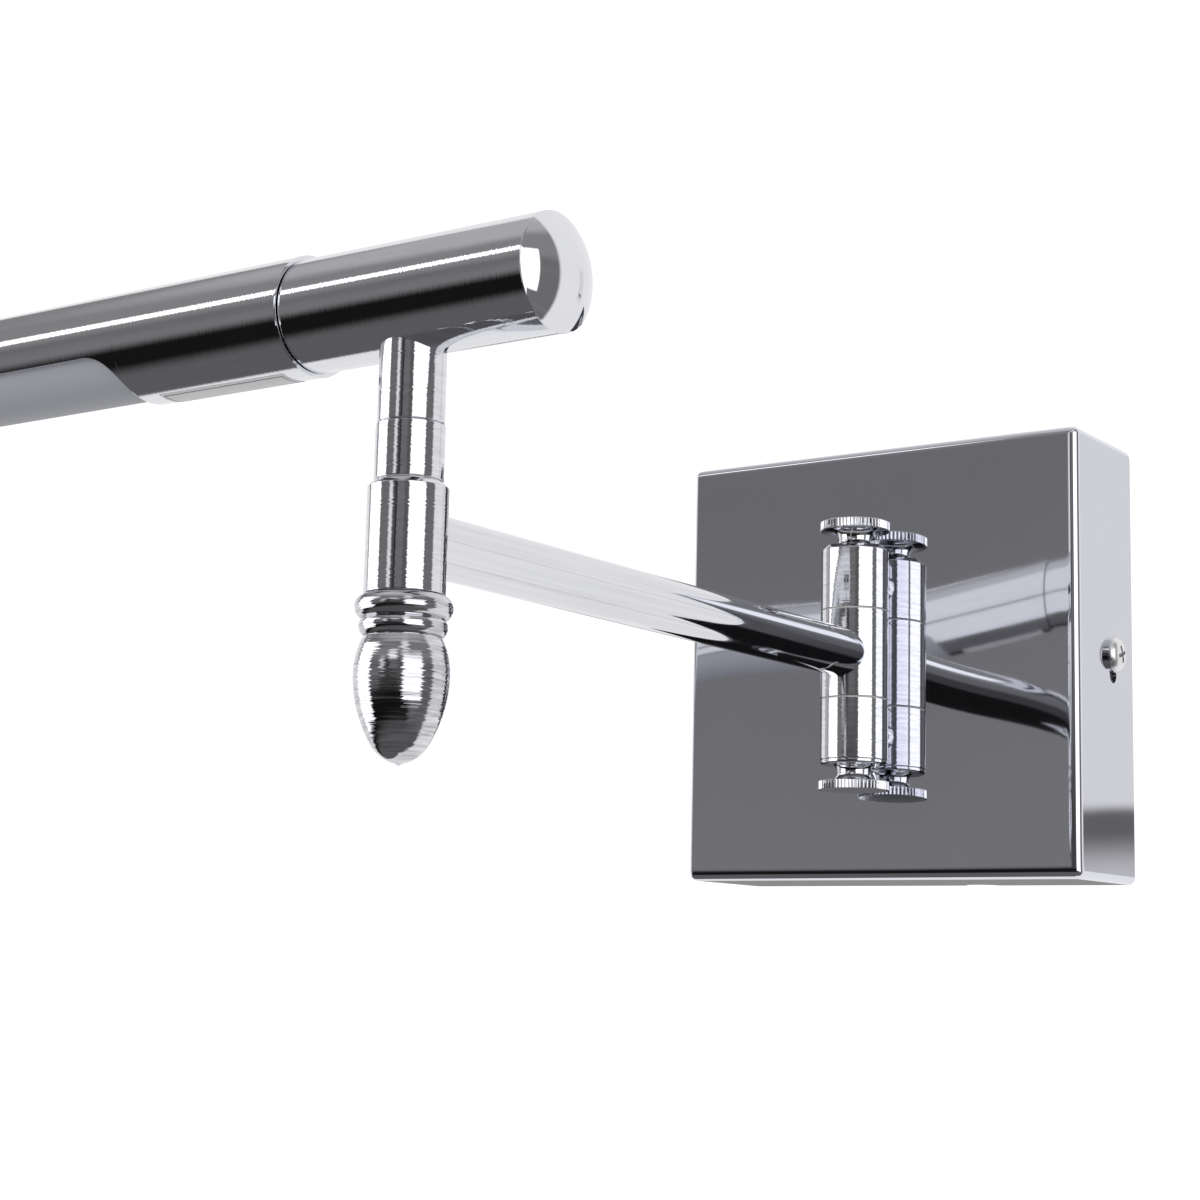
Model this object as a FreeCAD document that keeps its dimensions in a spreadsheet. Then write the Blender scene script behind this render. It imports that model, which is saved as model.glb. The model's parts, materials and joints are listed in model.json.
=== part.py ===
import FreeCAD, Part
import itertools
import math
import os
import Sketcher
from FreeCAD import Placement, Rotation, Vector

# Swing arm wall light with a slim tubular lamp, chromed.
#
# Frame: millimetres, +Z up. The wall is the plane y = 0 and the room is on its -Y side. The
# origin is the middle of the wall bracket's back. The arm stands square to the wall and the
# lamp lies parallel to it, towards -X.

doc = FreeCAD.newDocument("SwingArmWallLight")
sheet = doc.addObject("Spreadsheet::Sheet", "Sizes")
rows = itertools.count(1)
nodes = {}


# ---------------------------------------------------------------- sizes that carry a formula

class Size:
    """A number together with the sheet formula that gives it."""

    def __init__(self, value, formula):
        self.value = value
        self.formula = formula

    def joined(self, other, sign, value):
        return Size(value, f"({self.formula} {sign} {other.formula})")

    def __add__(self, other):
        other = as_size(other)
        return self.joined(other, "+", self.value + other.value)

    def __sub__(self, other):
        other = as_size(other)
        return self.joined(other, "-", self.value - other.value)

    def __mul__(self, other):
        other = as_size(other)
        return self.joined(other, "*", self.value * other.value)

    def __truediv__(self, other):
        other = as_size(other)
        return self.joined(other, "/", self.value / other.value)

    def __neg__(self):
        return Size(-self.value, f"(-1 * {self.formula})")

    def __radd__(self, other):
        return as_size(other) + self

    def __rsub__(self, other):
        return as_size(other) - self

    def __rmul__(self, other):
        return as_size(other) * self


def as_size(number):
    if isinstance(number, Size):
        return number
    return Size(float(number), f"({float(number)})")


def driving(alias, value):
    """Put a driving dimension in the sheet's next row and return it as a Size."""
    row = next(rows)
    sheet.set(f"A{row}", alias)
    sheet.set(f"B{row}", str(value))
    sheet.setAlias(f"B{row}", alias)
    return Size(float(value), f"Sizes.{alias}")


# ---------------------------------------------------------------- driving dimensions

# wall plate: a square box of folded sheet, open to the wall
plate_width = driving("plate_width", 110)
plate_depth = driving("plate_depth", 34)
sheet_gauge = driving("sheet_gauge", 1)
bend_radius = driving("bend_radius", 1.8)
corner_relief = driving("corner_relief", 3)
notch_radius = driving("notch_radius", 4.5)
notch_offset = driving("notch_offset", 14)

# bracket that is screwed to the wall
bracket_gauge = driving("bracket_gauge", 1.5)
bracket_reach = driving("bracket_reach", 50)
tab_length = driving("tab_length", 20)
tab_height = driving("tab_height", 20)
wall_slot_spacing = driving("wall_slot_spacing", 70)
wall_slot_length = driving("wall_slot_length", 14)
wall_slot_radius = driving("wall_slot_radius", 2.25)
inlet_hole_radius = driving("inlet_hole_radius", 9)
inlet_bore_radius = driving("inlet_bore_radius", 6)

# LED driver, terminal block and their screws, inside the plate
driver_half = driving("driver_half", 32)
driver_top = driving("driver_top", -29)
driver_bottom = driving("driver_bottom", -51)
driver_depth = driving("driver_depth", 20)
driver_screw_offset = driving("driver_screw_offset", 36.5)
terminal_half = driving("terminal_half", 16)
terminal_low = driving("terminal_low", 30)
terminal_high = driving("terminal_high", 46)
terminal_depth = driving("terminal_depth", 14)
terminal_pitch = driving("terminal_pitch", 10)
earth_screw_x = driving("earth_screw_x", 42)
earth_screw_z = driving("earth_screw_z", 26)
small_screw_radius = driving("small_screw_radius", 1.5)

# side screws that hold the cover
side_screw_radius = driving("side_screw_radius", 2)
side_screw_setback = driving("side_screw_setback", 12.5)
side_screw_height = driving("side_screw_height", 1)
side_slot_drop = driving("side_slot_drop", 3)

# knuckle barrel that the arm swings on
barrel_standoff = driving("barrel_standoff", 10.2)
barrel_radius = driving("barrel_radius", 8.45)
barrel_half = driving("barrel_half", 27.4)
middle_half = driving("middle_half", 10.95)
seam_gap = driving("seam_gap", 0.3)
end_ring_height = driving("end_ring_height", 1.1)
end_chamfer = driving("end_chamfer", 1.15)
pin_radius = driving("pin_radius", 2)
nipple_radius = driving("nipple_radius", 3.5)
nipple_bore = driving("nipple_bore", 2.4)
nipple_height = driving("nipple_height", 19)
knuckle_bore = driving("knuckle_bore", 7)
knuckle_cavity = driving("knuckle_cavity", 6.6)
journal_radius = driving("journal_radius", 6)
journal_bore = driving("journal_bore", 5)
journal_tip = driving("journal_tip", 6.2)
running_clearance = driving("running_clearance", 0.05)

# knurled thumb nuts
nut_disc_radius = driving("nut_disc_radius", 8.75)
nut_disc_inner = driving("nut_disc_inner", 31.4)
nut_disc_outer = driving("nut_disc_outer", 33.7)
nut_foot_radius = driving("nut_foot_radius", 5)
nut_flare_radius = driving("nut_flare_radius", 5.6)
nut_neck_curve = driving("nut_neck_curve", 2.5)
knurl_depth = driving("knurl_depth", 0.35)
knurl_count = 54

# arm and post
arm_radius = driving("arm_radius", 6.1)
arm_bore = driving("arm_bore", 5.1)
arm_reach = driving("arm_reach", 175.6)
lead_hole = driving("lead_hole", 3)
sleeve_radius = driving("sleeve_radius", 7.8)
sleeve_bore = driving("sleeve_bore", 5.5)
sleeve_half = driving("sleeve_half", 10.8)
sleeve_chamfer = driving("sleeve_chamfer", 1.1)
spindle_radius = driving("spindle_radius", 4)
spindle_bore = driving("spindle_bore", 2.6)
spindle_foot = driving("spindle_foot", -25)
spindle_top = driving("spindle_top", 43.8)
spindle_nut_seat = driving("spindle_nut_seat", 40.3)
post_gap = driving("post_gap", 0.22)
collar_radius = driving("collar_radius", 6.7)
collar_top = driving("collar_top", 22)
stub_radius = driving("stub_radius", 6.5)

# finial under the post
bead_radius = driving("bead_radius", 9.2)
finial_top = driving("finial_top", 18.7)
finial_widest = driving("finial_widest", 25.8)
finial_shoulder = driving("finial_shoulder", 39.1)
finial_tip = driving("finial_tip", 43)
finial_radius = driving("finial_radius", 9.12)

# head tube that the lamp turns in
head_height = driving("head_height", 47)
head_radius = driving("head_radius", 11.4)
head_bore = driving("head_bore", 9.6)
head_seam = driving("head_seam", 25.2)
head_end = driving("head_end", 33.3)
cap_rise = driving("cap_rise", 4.1)

# lamp
lamp_radius = driving("lamp_radius", 12.2)
lamp_bore = driving("lamp_bore", 11.2)
lamp_start = driving("lamp_start", 25.5)
lamp_length = driving("lamp_length", 300)
window_start = driving("window_start", 70)
window_end_margin = driving("window_end_margin", 22)
window_drop = driving("window_drop", 4)
window_corner = driving("window_corner", 9)
diffuser_radius = driving("diffuser_radius", 11.1)
diffuser_bore = driving("diffuser_bore", 9.6)
spigot_radius = driving("spigot_radius", 5)
spigot_clip_x = driving("spigot_clip_x", -21)
board_screw_side = driving("board_screw_side", 3.4)
led_count = 27

# insulated leads
lead_radius = driving("lead_radius", 0.9)

doc.recompute()

plate_half = plate_width / 2
plate_inside = plate_half - sheet_gauge
barrel_y = -(plate_depth + barrel_standoff)
post_y = barrel_y - arm_reach
end_knuckle_start = middle_half + seam_gap
lamp_end = lamp_start + lamp_length
driver_middle = (driver_top + driver_bottom) / 2
driver_screws = [(-driver_screw_offset, driver_middle), (driver_screw_offset, driver_middle)]
earth_screw = (earth_screw_x, earth_screw_z)
terminal_middle = (terminal_low + terminal_high) / 2
terminal_screw = (terminal_pitch / 2, terminal_middle)
terminal_poles = [-terminal_pitch, as_size(0), terminal_pitch]
terminal_rows = [terminal_low + 3.5, terminal_high - 3.5]
terminal_bore_y = -(bracket_gauge + terminal_depth / 2)


# ---------------------------------------------------------------- making and placing objects

def bind(thing, prop, size):
    size = as_size(size)
    thing.setExpression(prop, size.formula)


TURNS = {
    "+Z": Rotation(),
    "-Z": Rotation(Vector(1, 0, 0), 180),
    "+X": Rotation(Vector(0, 1, 0), 90),
    "-X": Rotation(Vector(0, 1, 0), -90),
    "+Y": Rotation(Vector(1, 0, 0), -90),
    "-Y": Rotation(Vector(1, 0, 0), 90),
}


def place(thing, at=(0, 0, 0), along="+Z", spin=0):
    """Put a thing at a point, with its own +Z along the named axis."""
    at = [as_size(part) for part in at]
    turn = TURNS[along].multiply(Rotation(Vector(0, 0, 1), spin))
    thing.Placement = Placement(Vector(*[part.value for part in at]), turn)
    for name, part in zip("xyz", at):
        bind(thing, f"Placement.Base.{name}", part)
    return thing


def keep(thing, label):
    """Name a finished piece, which is what its file is called."""
    thing.Label = label
    nodes[label] = thing
    return thing


def box(name, low, high):
    """A box between two corners."""
    solid = doc.addObject("Part::Box", name)
    low = [as_size(part) for part in low]
    high = [as_size(part) for part in high]
    for prop, start, end in zip(("Length", "Width", "Height"), low, high):
        bind(solid, prop, end - start)
    return place(solid, low)


def cylinder(name, radius, height, at, along="+Z", angle=360, spin=0):
    solid = doc.addObject("Part::Cylinder", name)
    bind(solid, "Radius", radius)
    bind(solid, "Height", height)
    solid.Angle = angle
    return place(solid, at, along, spin)


def fused(name, parts):
    if len(parts) == 1:
        return parts[0]
    solid = doc.addObject("Part::MultiFuse", name)
    solid.Shapes = parts
    return solid


def cut(name, base, *tools):
    solid = doc.addObject("Part::Cut", name)
    solid.Base = base
    solid.Tool = fused(f"{name}_tools", list(tools))
    return solid


def common(name, first, second):
    solid = doc.addObject("Part::Common", name)
    solid.Base = first
    solid.Tool = second
    return solid


def grouped(name, parts):
    group = doc.addObject("Part::Compound", name)
    group.Links = parts
    return group


def ring(name, outer, inner, height, at, along="+Z"):
    """A plain washer, bush or tube."""
    outside = cylinder(f"{name}_outside", outer, height, at, along)
    inside = cylinder(f"{name}_inside", inner, height, at, along)
    return cut(name, outside, inside)


# ---------------------------------------------------------------- sketched bodies

def origin_plane(body, role):
    return next(part for part in body.Origin.OriginFeatures if part.Role == role)


def sketch_on(body, role, name):
    sketch = body.newObject("Sketcher::SketchObject", f"{body.Name}_{name}")
    sketch.AttachmentSupport = (origin_plane(body, role), "")
    sketch.MapMode = "FlatFace"
    return sketch


def arc_between(start, end, radius):
    """The short arc from start to end; a positive radius turns to the left."""
    chord = end - start
    middle = (start + end) * 0.5
    height = math.sqrt(max(radius * radius - chord.Length * chord.Length / 4, 0))
    side = 1 if radius > 0 else -1
    left = Vector(-chord.y, chord.x, 0).normalize()
    centre = middle + left * (height * side)
    first, last = (start, end) if radius > 0 else (end, start)
    from_angle = math.atan2(first.y - centre.y, first.x - centre.x)
    to_angle = math.atan2(last.y - centre.y, last.x - centre.x)
    circle = Part.Circle(centre, Vector(0, 0, 1), abs(radius))
    return Part.ArcOfCircle(circle, from_angle, to_angle)


def draw(sketch, corners):
    """Draw a closed outline.

    A corner is (u, v), reached by a straight edge, or (u, v, radius), reached by an arc that
    turns left if its radius is positive.
    """
    count = len(corners)
    points = [Vector(as_size(corner[0]).value, as_size(corner[1]).value, 0) for corner in corners]
    ends = []
    for index in range(count):
        after = (index + 1) % count
        start, end = points[index], points[after]
        if len(corners[after]) == 3:
            radius = as_size(corners[after][2])
            edge = sketch.addGeometry(arc_between(start, end, radius.value), False)
            ends.append((edge, 1, 2) if radius.value > 0 else (edge, 2, 1))
            number = sketch.addConstraint(Sketcher.Constraint("Radius", edge, abs(radius.value)))
            size = radius if radius.value > 0 else -radius
            bind(sketch, f"Constraints[{number}]", size)
        else:
            edge = sketch.addGeometry(Part.LineSegment(start, end), False)
            ends.append((edge, 1, 2))
    for index in range(count):
        edge, start_end, far_end = ends[index]
        next_edge, next_start, _ = ends[(index + 1) % count]
        sketch.addConstraint(Sketcher.Constraint("Coincident", edge, far_end, next_edge, next_start))
        for kind, part in (("DistanceX", corners[index][0]), ("DistanceY", corners[index][1])):
            part = as_size(part)
            number = sketch.addConstraint(
                Sketcher.Constraint(kind, -1, 1, edge, start_end, part.value))
            bind(sketch, f"Constraints[{number}]", part)
    return sketch


def turned(name, corners, about="Z"):
    """A lathe-turned body: corners are (radius, z) about Z, or (x, radius) about X."""
    body = doc.addObject("PartDesign::Body", name)
    sketch = draw(sketch_on(body, "XZ_Plane", "profile"), corners)
    turn = body.newObject("PartDesign::Revolution", f"{name}_turn")
    turn.Profile = sketch
    turn.ReferenceAxis = (sketch, ["V_Axis" if about == "Z" else "H_Axis"])
    turn.Angle = 360
    sketch.Visibility = False
    return body


def padded(name, corners, length):
    """A body with an outline in X and Y, raised along its own +Z."""
    body = doc.addObject("PartDesign::Body", name)
    sketch = draw(sketch_on(body, "XY_Plane", "outline"), corners)
    pad = body.newObject("PartDesign::Pad", f"{name}_pad")
    pad.Profile = sketch
    bind(pad, "Length", length)
    return body


def hexagon(across):
    """The corners of a hexagon, from its size across flats."""
    reach = as_size(across) / math.sqrt(3)
    return [(reach * math.cos(math.radians(60 * step)), reach * math.sin(math.radians(60 * step)))
            for step in range(6)]


def hex_nut(name, across, bore, height, at, along):
    blank = place(padded(f"{name}_blank", hexagon(across), height), at, along)
    hole = cylinder(f"{name}_hole", bore, height, at, along)
    return cut(name, blank, hole)


def lead(name, bend, stops):
    """A round insulated lead: straight runs between the stops, joined by tangent arcs."""
    stops = [Vector(*[as_size(part).value for part in stop]) for stop in stops]
    edges = []
    here = stops[0]
    for before, corner, after in zip(stops, stops[1:], stops[2:]):
        incoming = (corner - before).normalize()
        outgoing = (after - corner).normalize()
        half_turn = incoming.getAngle(outgoing) / 2
        room = 0.45 * min((corner - before).Length, (after - corner).Length)
        trim = min(bend * math.tan(half_turn), room)
        arc_start = corner - incoming * trim
        arc_end = corner + outgoing * trim
        inward = (outgoing - incoming).normalize()
        to_corner = trim / math.sin(half_turn) - trim / math.tan(half_turn)
        arc_middle = corner + inward * to_corner
        edges.append(Part.LineSegment(here, arc_start).toShape())
        edges.append(Part.Arc(arc_start, arc_middle, arc_end).toShape())
        here = arc_end
    edges.append(Part.LineSegment(here, stops[-1]).toShape())
    path = Part.Wire(edges)
    first_run = stops[1] - stops[0]
    section = Part.Wire(Part.makeCircle(lead_radius.value, stops[0], first_run))
    solid = doc.addObject("Part::Feature", name)
    solid.Shape = path.makePipeShell([section], True, False)
    return solid


# ---------------------------------------------------------------- wall plate

def wall_cover():
    """Folded sheet box, open at the wall, with its bends rounded."""
    blank = box("cover_blank", (-plate_half, -plate_depth, -plate_half), (plate_half, 0, plate_half))
    doc.recompute()
    rounded = doc.addObject("Part::Fillet", "cover_rounded")
    rounded.Base = blank
    bends = [number for number, edge in enumerate(blank.Shape.Edges, 1)
             if edge.CenterOfMass.y < -sheet_gauge.value]
    rounded.Edges = [(number, bend_radius.value, bend_radius.value) for number in bends]
    hollow = box("cover_hollow", (-plate_inside, sheet_gauge - plate_depth, -plate_inside),
                 (plate_inside, 1, plate_inside))
    holes = [cylinder(f"cover_nipple_hole_{side}", nipple_radius + 0.2, sheet_gauge + 1,
                      (0, -plate_depth - 0.5, nipple_height * side), "+Y") for side in (1, -1)]
    slot_top = side_screw_height + 2.5
    slot_bottom = side_screw_height - side_slot_drop - 2
    slot_half = side_screw_radius + 0.1
    slot = box("cover_side_slot", (-plate_half - 1, -side_screw_setback - slot_half, slot_bottom),
               (plate_half + 1, slot_half - side_screw_setback, slot_top))
    slot_ends = [cylinder(f"cover_slot_end_{index}", slot_half, plate_width + 2,
                          (-plate_half - 1, -side_screw_setback, height), "+X")
                 for index, height in enumerate((slot_top, slot_bottom))]
    notch = cylinder("cover_cable_notch", notch_radius, 3, (notch_offset, 0, -plate_half - 1))
    relief = cut("cover_relief",
                 box("cover_relief_block", (-plate_half - 1, -corner_relief, plate_half - corner_relief),
                     (plate_half + 1, 1, plate_half + 1)),
                 cylinder("cover_relief_round", corner_relief, plate_width + 4,
                          (-plate_half - 2, -corner_relief, plate_half - corner_relief), "+X"))
    return cut("cover", rounded, hollow, *holes, slot, *slot_ends, notch, relief)


def mounting_bracket():
    """Flat steel plate for the wall, with a folded tab each side that the cover screws to."""
    tab_low = side_screw_height - tab_height / 2
    tab_high = side_screw_height + tab_height / 2
    plate = box("bracket_plate", (-bracket_reach, -bracket_gauge, -bracket_reach),
                (bracket_reach, 0, bracket_reach))
    strip = box("bracket_strip", (-plate_inside, -bracket_gauge, tab_low),
                (plate_inside, 0, tab_high))
    tabs = [box("bracket_tab_left", (-plate_inside, -tab_length, tab_low),
                (bracket_gauge - plate_inside, 0, tab_high)),
            box("bracket_tab_right", (plate_inside - bracket_gauge, -tab_length, tab_low),
                (plate_inside, 0, tab_high))]
    blank = fused("bracket_blank", [plate, strip, *tabs])
    through = bracket_gauge + 2
    start_y = -bracket_gauge - 1
    tools = [cylinder("bracket_inlet", inlet_hole_radius, through, (0, start_y, 0), "+Y"),
             cylinder("bracket_tab_holes", side_screw_radius, plate_width,
                      (-plate_half, -side_screw_setback, side_screw_height), "+X")]
    slot_reach = wall_slot_length / 2 - wall_slot_radius
    for side in (1, -1):
        middle = wall_slot_spacing * side / 2
        tools.append(box(f"bracket_slot_{side}", (middle - slot_reach, start_y, -wall_slot_radius),
                         (middle + slot_reach, 1, wall_slot_radius)))
        for index, end in enumerate((middle - slot_reach, middle + slot_reach)):
            tools.append(cylinder(f"bracket_slot_end_{side}_{index}", wall_slot_radius, through,
                                  (end, start_y, 0), "+Y"))
    for index, (x, z) in enumerate([*driver_screws, earth_screw, terminal_screw]):
        tools.append(cylinder(f"bracket_small_hole_{index}", small_screw_radius, through,
                              (x, start_y, z), "+Y"))
    return cut("bracket", blank, *tools)


def inlet_grommet():
    """Rubber bush in the cable hole, flush with the wall side."""
    profile = [(inlet_bore_radius, 0), (inlet_hole_radius, 0), (inlet_hole_radius, bracket_gauge),
               (inlet_hole_radius + 2, bracket_gauge), (inlet_hole_radius + 2, bracket_gauge + 1.2),
               (inlet_hole_radius + 1.2, bracket_gauge + 2), (inlet_bore_radius, bracket_gauge + 2)]
    return place(turned("grommet", profile), along="-Y")


def side_washer(side, along):
    """Flat collar between a side screw's head and the cover."""
    return ring(f"side_washer_{side}", 4.6, side_screw_radius + 0.05, 0.8,
                (plate_half * side, -side_screw_setback, side_screw_height), along)


def side_screw(side, along):
    """Pan head machine screw with a cross recess."""
    profile = [(0, -7), (side_screw_radius, -7), (side_screw_radius, 0.8), (4.2, 0.8),
               (4.2, 1.2), (2.6, 2.4, 2.4), (0, 2.6, 18)]
    screw = turned(f"side_screw_turned_{side}", profile)
    arms = [box(f"side_recess_wide_{side}", (-2.1, -0.45, 1.3), (2.1, 0.45, 4)),
            box(f"side_recess_tall_{side}", (-0.45, -2.1, 1.3), (0.45, 2.1, 4))]
    solid = cut(f"side_screw_{side}", screw, *arms)
    return place(solid, (plate_half * side, -side_screw_setback, side_screw_height), along, 20)


def led_driver():
    """Closed plastic case of the constant current driver, with an ear at each end."""
    back = -bracket_gauge
    case = box("driver_case", (-driver_half, back - driver_depth, driver_bottom),
               (driver_half, back, driver_top))
    doc.recompute()
    rounded = doc.addObject("Part::Fillet", "driver_case_rounded")
    rounded.Base = case
    front = [number for number, edge in enumerate(case.Shape.Edges, 1)
             if edge.CenterOfMass.y < back.value - 1]
    rounded.Edges = [(number, 1.5, 1.5) for number in front]
    ears = box("driver_ears", (-driver_half - 9, back - 2.5, driver_middle - 5),
               (driver_half + 9, back, driver_middle + 5))
    holes = [cylinder(f"driver_ear_hole_{index}", small_screw_radius + 0.1, 4, (x, back - 3.5, z), "+Y")
             for index, (x, z) in enumerate(driver_screws)]
    return cut("driver", fused("driver_body", [rounded, ears]), *holes)


def small_screw(name, x, z, seat):
    """M3 screw through the bracket; seat is how far its head stands in front of the bracket."""
    under = bracket_gauge + seat
    profile = [(0, 0), (small_screw_radius, 0), (small_screw_radius, under), (2.8, under),
               (2.8, under + 1), (1.6, under + 2, 2.4), (0, under + 2)]
    screw = turned(f"{name}_turned", profile)
    slot = box(f"{name}_slot", (-2.9, -0.35, under + 1.1), (2.9, 0.35, under + 3))
    return place(cut(name, screw, slot), (x, 0, z), "-Y")


def terminal_block():
    """Three-pole terminal block, open above and below for the leads and in front for screws."""
    back = -bracket_gauge
    front = back - terminal_depth
    x, z = terminal_screw
    block = box("terminal_body", (-terminal_half, front, terminal_low),
                (terminal_half, back, terminal_high))
    tools = [cylinder("terminal_fixing_hole", small_screw_radius + 0.1, 20, (x, front - 2.5, z), "+Y"),
             cylinder("terminal_fixing_sink", 3, 9, (x, front - 0.5, z), "+Y")]
    for index, x in enumerate(terminal_poles):
        tools.append(cylinder(f"terminal_bore_{index}", 1.6, 20, (x, terminal_bore_y, terminal_low - 2)))
        for row, z in enumerate(terminal_rows):
            tools.append(cylinder(f"terminal_well_{index}_{row}", 1.9, 6, (x, front - 0.5, z), "+Y"))
    return cut("terminal", block, *tools)


def terminal_screws():
    """Slotted grub screws, two over each pole."""
    head_y = 0.9 - bracket_gauge - terminal_depth
    screws = []
    for index, x in enumerate(terminal_poles):
        for row, z in enumerate(terminal_rows):
            shank = cylinder(f"pole_screw_{index}_{row}", 1.8, 4.4, (x, head_y, z), "+Y")
            slot = box(f"pole_slot_{index}_{row}", (x - 2, head_y - 1, z - 0.3),
                       (x + 2, head_y + 0.6, z + 0.3))
            screws.append(cut(f"pole_screw_slotted_{index}_{row}", shank, slot))
    return grouped("terminal_screw_set", screws)


def supply_leads():
    """Live and neutral, from the terminal block to the driver."""
    top = terminal_low + 3
    pole = -terminal_pitch
    live = lead("live_lead", 8,
                [(pole, terminal_bore_y, top), (pole, terminal_bore_y, 22), (-22, -10, 10),
                 (-22, -10, -14), (-25, -11, -22), (-25, -11, driver_top)])
    neutral = lead("neutral_lead", 8,
                   [(0, terminal_bore_y, top), (0, -9, 22), (-14, -13, 12),
                    (-15, -13, -12), (-19, -12, -22), (-19, -12, driver_top)])
    return grouped("supply_lead_pair", [live, neutral])


def earth_lead():
    """From the terminal block's third pole to the side of the earth screw."""
    x, z = earth_screw
    return lead("earth", 6,
                [(terminal_pitch, terminal_bore_y, terminal_low + 3),
                 (terminal_pitch, terminal_bore_y, 23), (24, -8, 19), (x - 4.2, -4.2, z - 4),
                 (x - 3.8, -4.2, z)])


def driver_lead():
    """Low-voltage lead from the driver through the upper nipple, down beside the hinge pin."""
    beside_pin = pin_radius + 1.5
    return lead("driver_output", 6,
                [(22, -12, driver_top), (22, -12, -16), (16, -15, 6), (0, -17, nipple_height),
                 (0, barrel_y + 8.2, nipple_height), (3.6, barrel_y + 3.6, nipple_height - 1.6),
                 (beside_pin, barrel_y, nipple_height - 6), (beside_pin, barrel_y, journal_tip + 0.2)])


# ---------------------------------------------------------------- knuckle barrel

def end_knuckle(name, end, chamfer, side):
    """Hollow end knuckle with a journal that reaches into the middle knuckle."""
    profile = [(journal_bore, journal_tip), (journal_radius, journal_tip),
               (journal_radius, end_knuckle_start), (barrel_radius - 0.15, end_knuckle_start),
               (barrel_radius, end_knuckle_start + 0.15), (barrel_radius, end - chamfer),
               (barrel_radius - chamfer, end), (pin_radius + 0.1, end), (pin_radius + 0.1, end - 3),
               (knuckle_cavity, end - 3), (knuckle_cavity, end_knuckle_start + 1.8),
               (journal_bore, end_knuckle_start + 1.8)]
    body = place(turned(f"{name}_turned", profile), (0, barrel_y, 0), "+Z" if side > 0 else "-Z")
    hole = cylinder(f"{name}_nipple_hole", nipple_radius, barrel_radius,
                    (0, barrel_y, nipple_height * side), "+Y")
    return cut(name, body, hole)


def lower_ring():
    """Thin lock ring under the lower knuckle."""
    top = -(barrel_half - end_ring_height)
    profile = [(pin_radius + 0.1, -barrel_half), (barrel_radius - 0.7, -barrel_half),
               (barrel_radius - 0.1, 0.6 - barrel_half), (barrel_radius - 0.1, top - 0.1),
               (barrel_radius - 0.25, top), (pin_radius + 0.1, top)]
    return place(turned("lower_ring", profile), (0, barrel_y, 0))


def middle_knuckle():
    """Knuckle that the arm is brazed to, with a hole for the lead."""
    edge = 0.15
    profile = [(knuckle_bore, -middle_half), (barrel_radius - edge, -middle_half),
               (barrel_radius, edge - middle_half), (barrel_radius, middle_half - edge),
               (barrel_radius - edge, middle_half), (knuckle_bore, middle_half)]
    body = place(turned("middle_turned", profile), (0, barrel_y, 0))
    hole = cylinder("middle_lead_hole", lead_hole, barrel_radius + 1, (0, barrel_y, 0), "-Y")
    return cut("middle", body, hole)


def knuckle_bush(name, along):
    """Flanged nylon bush; its flange is the washer between two knuckles."""
    inner = journal_radius + running_clearance
    foot = journal_tip - 0.4
    profile = [(inner, foot), (knuckle_bore, foot), (knuckle_bore, middle_half),
               (barrel_radius - 0.35, middle_half), (barrel_radius - 0.35, end_knuckle_start - 0.02),
               (inner, end_knuckle_start - 0.02)]
    return place(turned(name, profile), (0, barrel_y, 0), along)


def thumb_nut(name, along):
    """Knurled disc on a coved neck, with a blind hole for the pin's threaded end."""
    foot = barrel_half + 0.03
    bore = pin_radius + running_clearance
    rim = 0.25
    profile = [(bore, foot), (nut_foot_radius, foot),
               (nut_flare_radius, nut_disc_inner, -nut_neck_curve),
               (nut_disc_radius - rim, nut_disc_inner), (nut_disc_radius, nut_disc_inner + rim),
               (nut_disc_radius, nut_disc_outer - rim), (nut_disc_radius - rim, nut_disc_outer),
               (0, nut_disc_outer), (0, nut_disc_outer - 1), (bore, nut_disc_outer - 1)]
    body = turned(name, profile)
    root = nut_disc_radius - knurl_depth
    past = nut_disc_radius + 0.2
    sketch = draw(sketch_on(body, "XY_Plane", "knurl"), [(root, 0), (past, -0.45), (past, 0.45)])
    sketch.AttachmentOffset = Placement(Vector(0, 0, nut_disc_outer.value + 0.5), Rotation())
    bind(sketch, "AttachmentOffset.Base.z", nut_disc_outer + 0.5)
    groove = body.newObject("PartDesign::Pocket", f"{name}_groove")
    groove.Profile = sketch
    bind(groove, "Length", nut_disc_outer - nut_disc_inner + 1)
    pattern = body.newObject("PartDesign::PolarPattern", f"{name}_knurl")
    pattern.Originals = [groove]
    pattern.Axis = (sketch, ["N_Axis"])
    pattern.Angle = 360
    pattern.Occurrences = knurl_count
    body.Tip = pattern
    return place(body, (0, barrel_y, 0), along)


def knuckle_spacers():
    """Collars between the plate and the barrel, coped to the barrel."""
    spacers = []
    for side in (1, -1):
        height = nipple_height * side
        blank = ring(f"spacer_blank_{side}", 4.2, nipple_radius, 4.5, (0, -plate_depth, height), "-Y")
        cope = cylinder(f"spacer_cope_{side}", barrel_radius, 16, (0, barrel_y, height - 8))
        spacers.append(cut(f"spacer_{side}", blank, cope))
    return grouped("spacer_pair", spacers)


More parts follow.
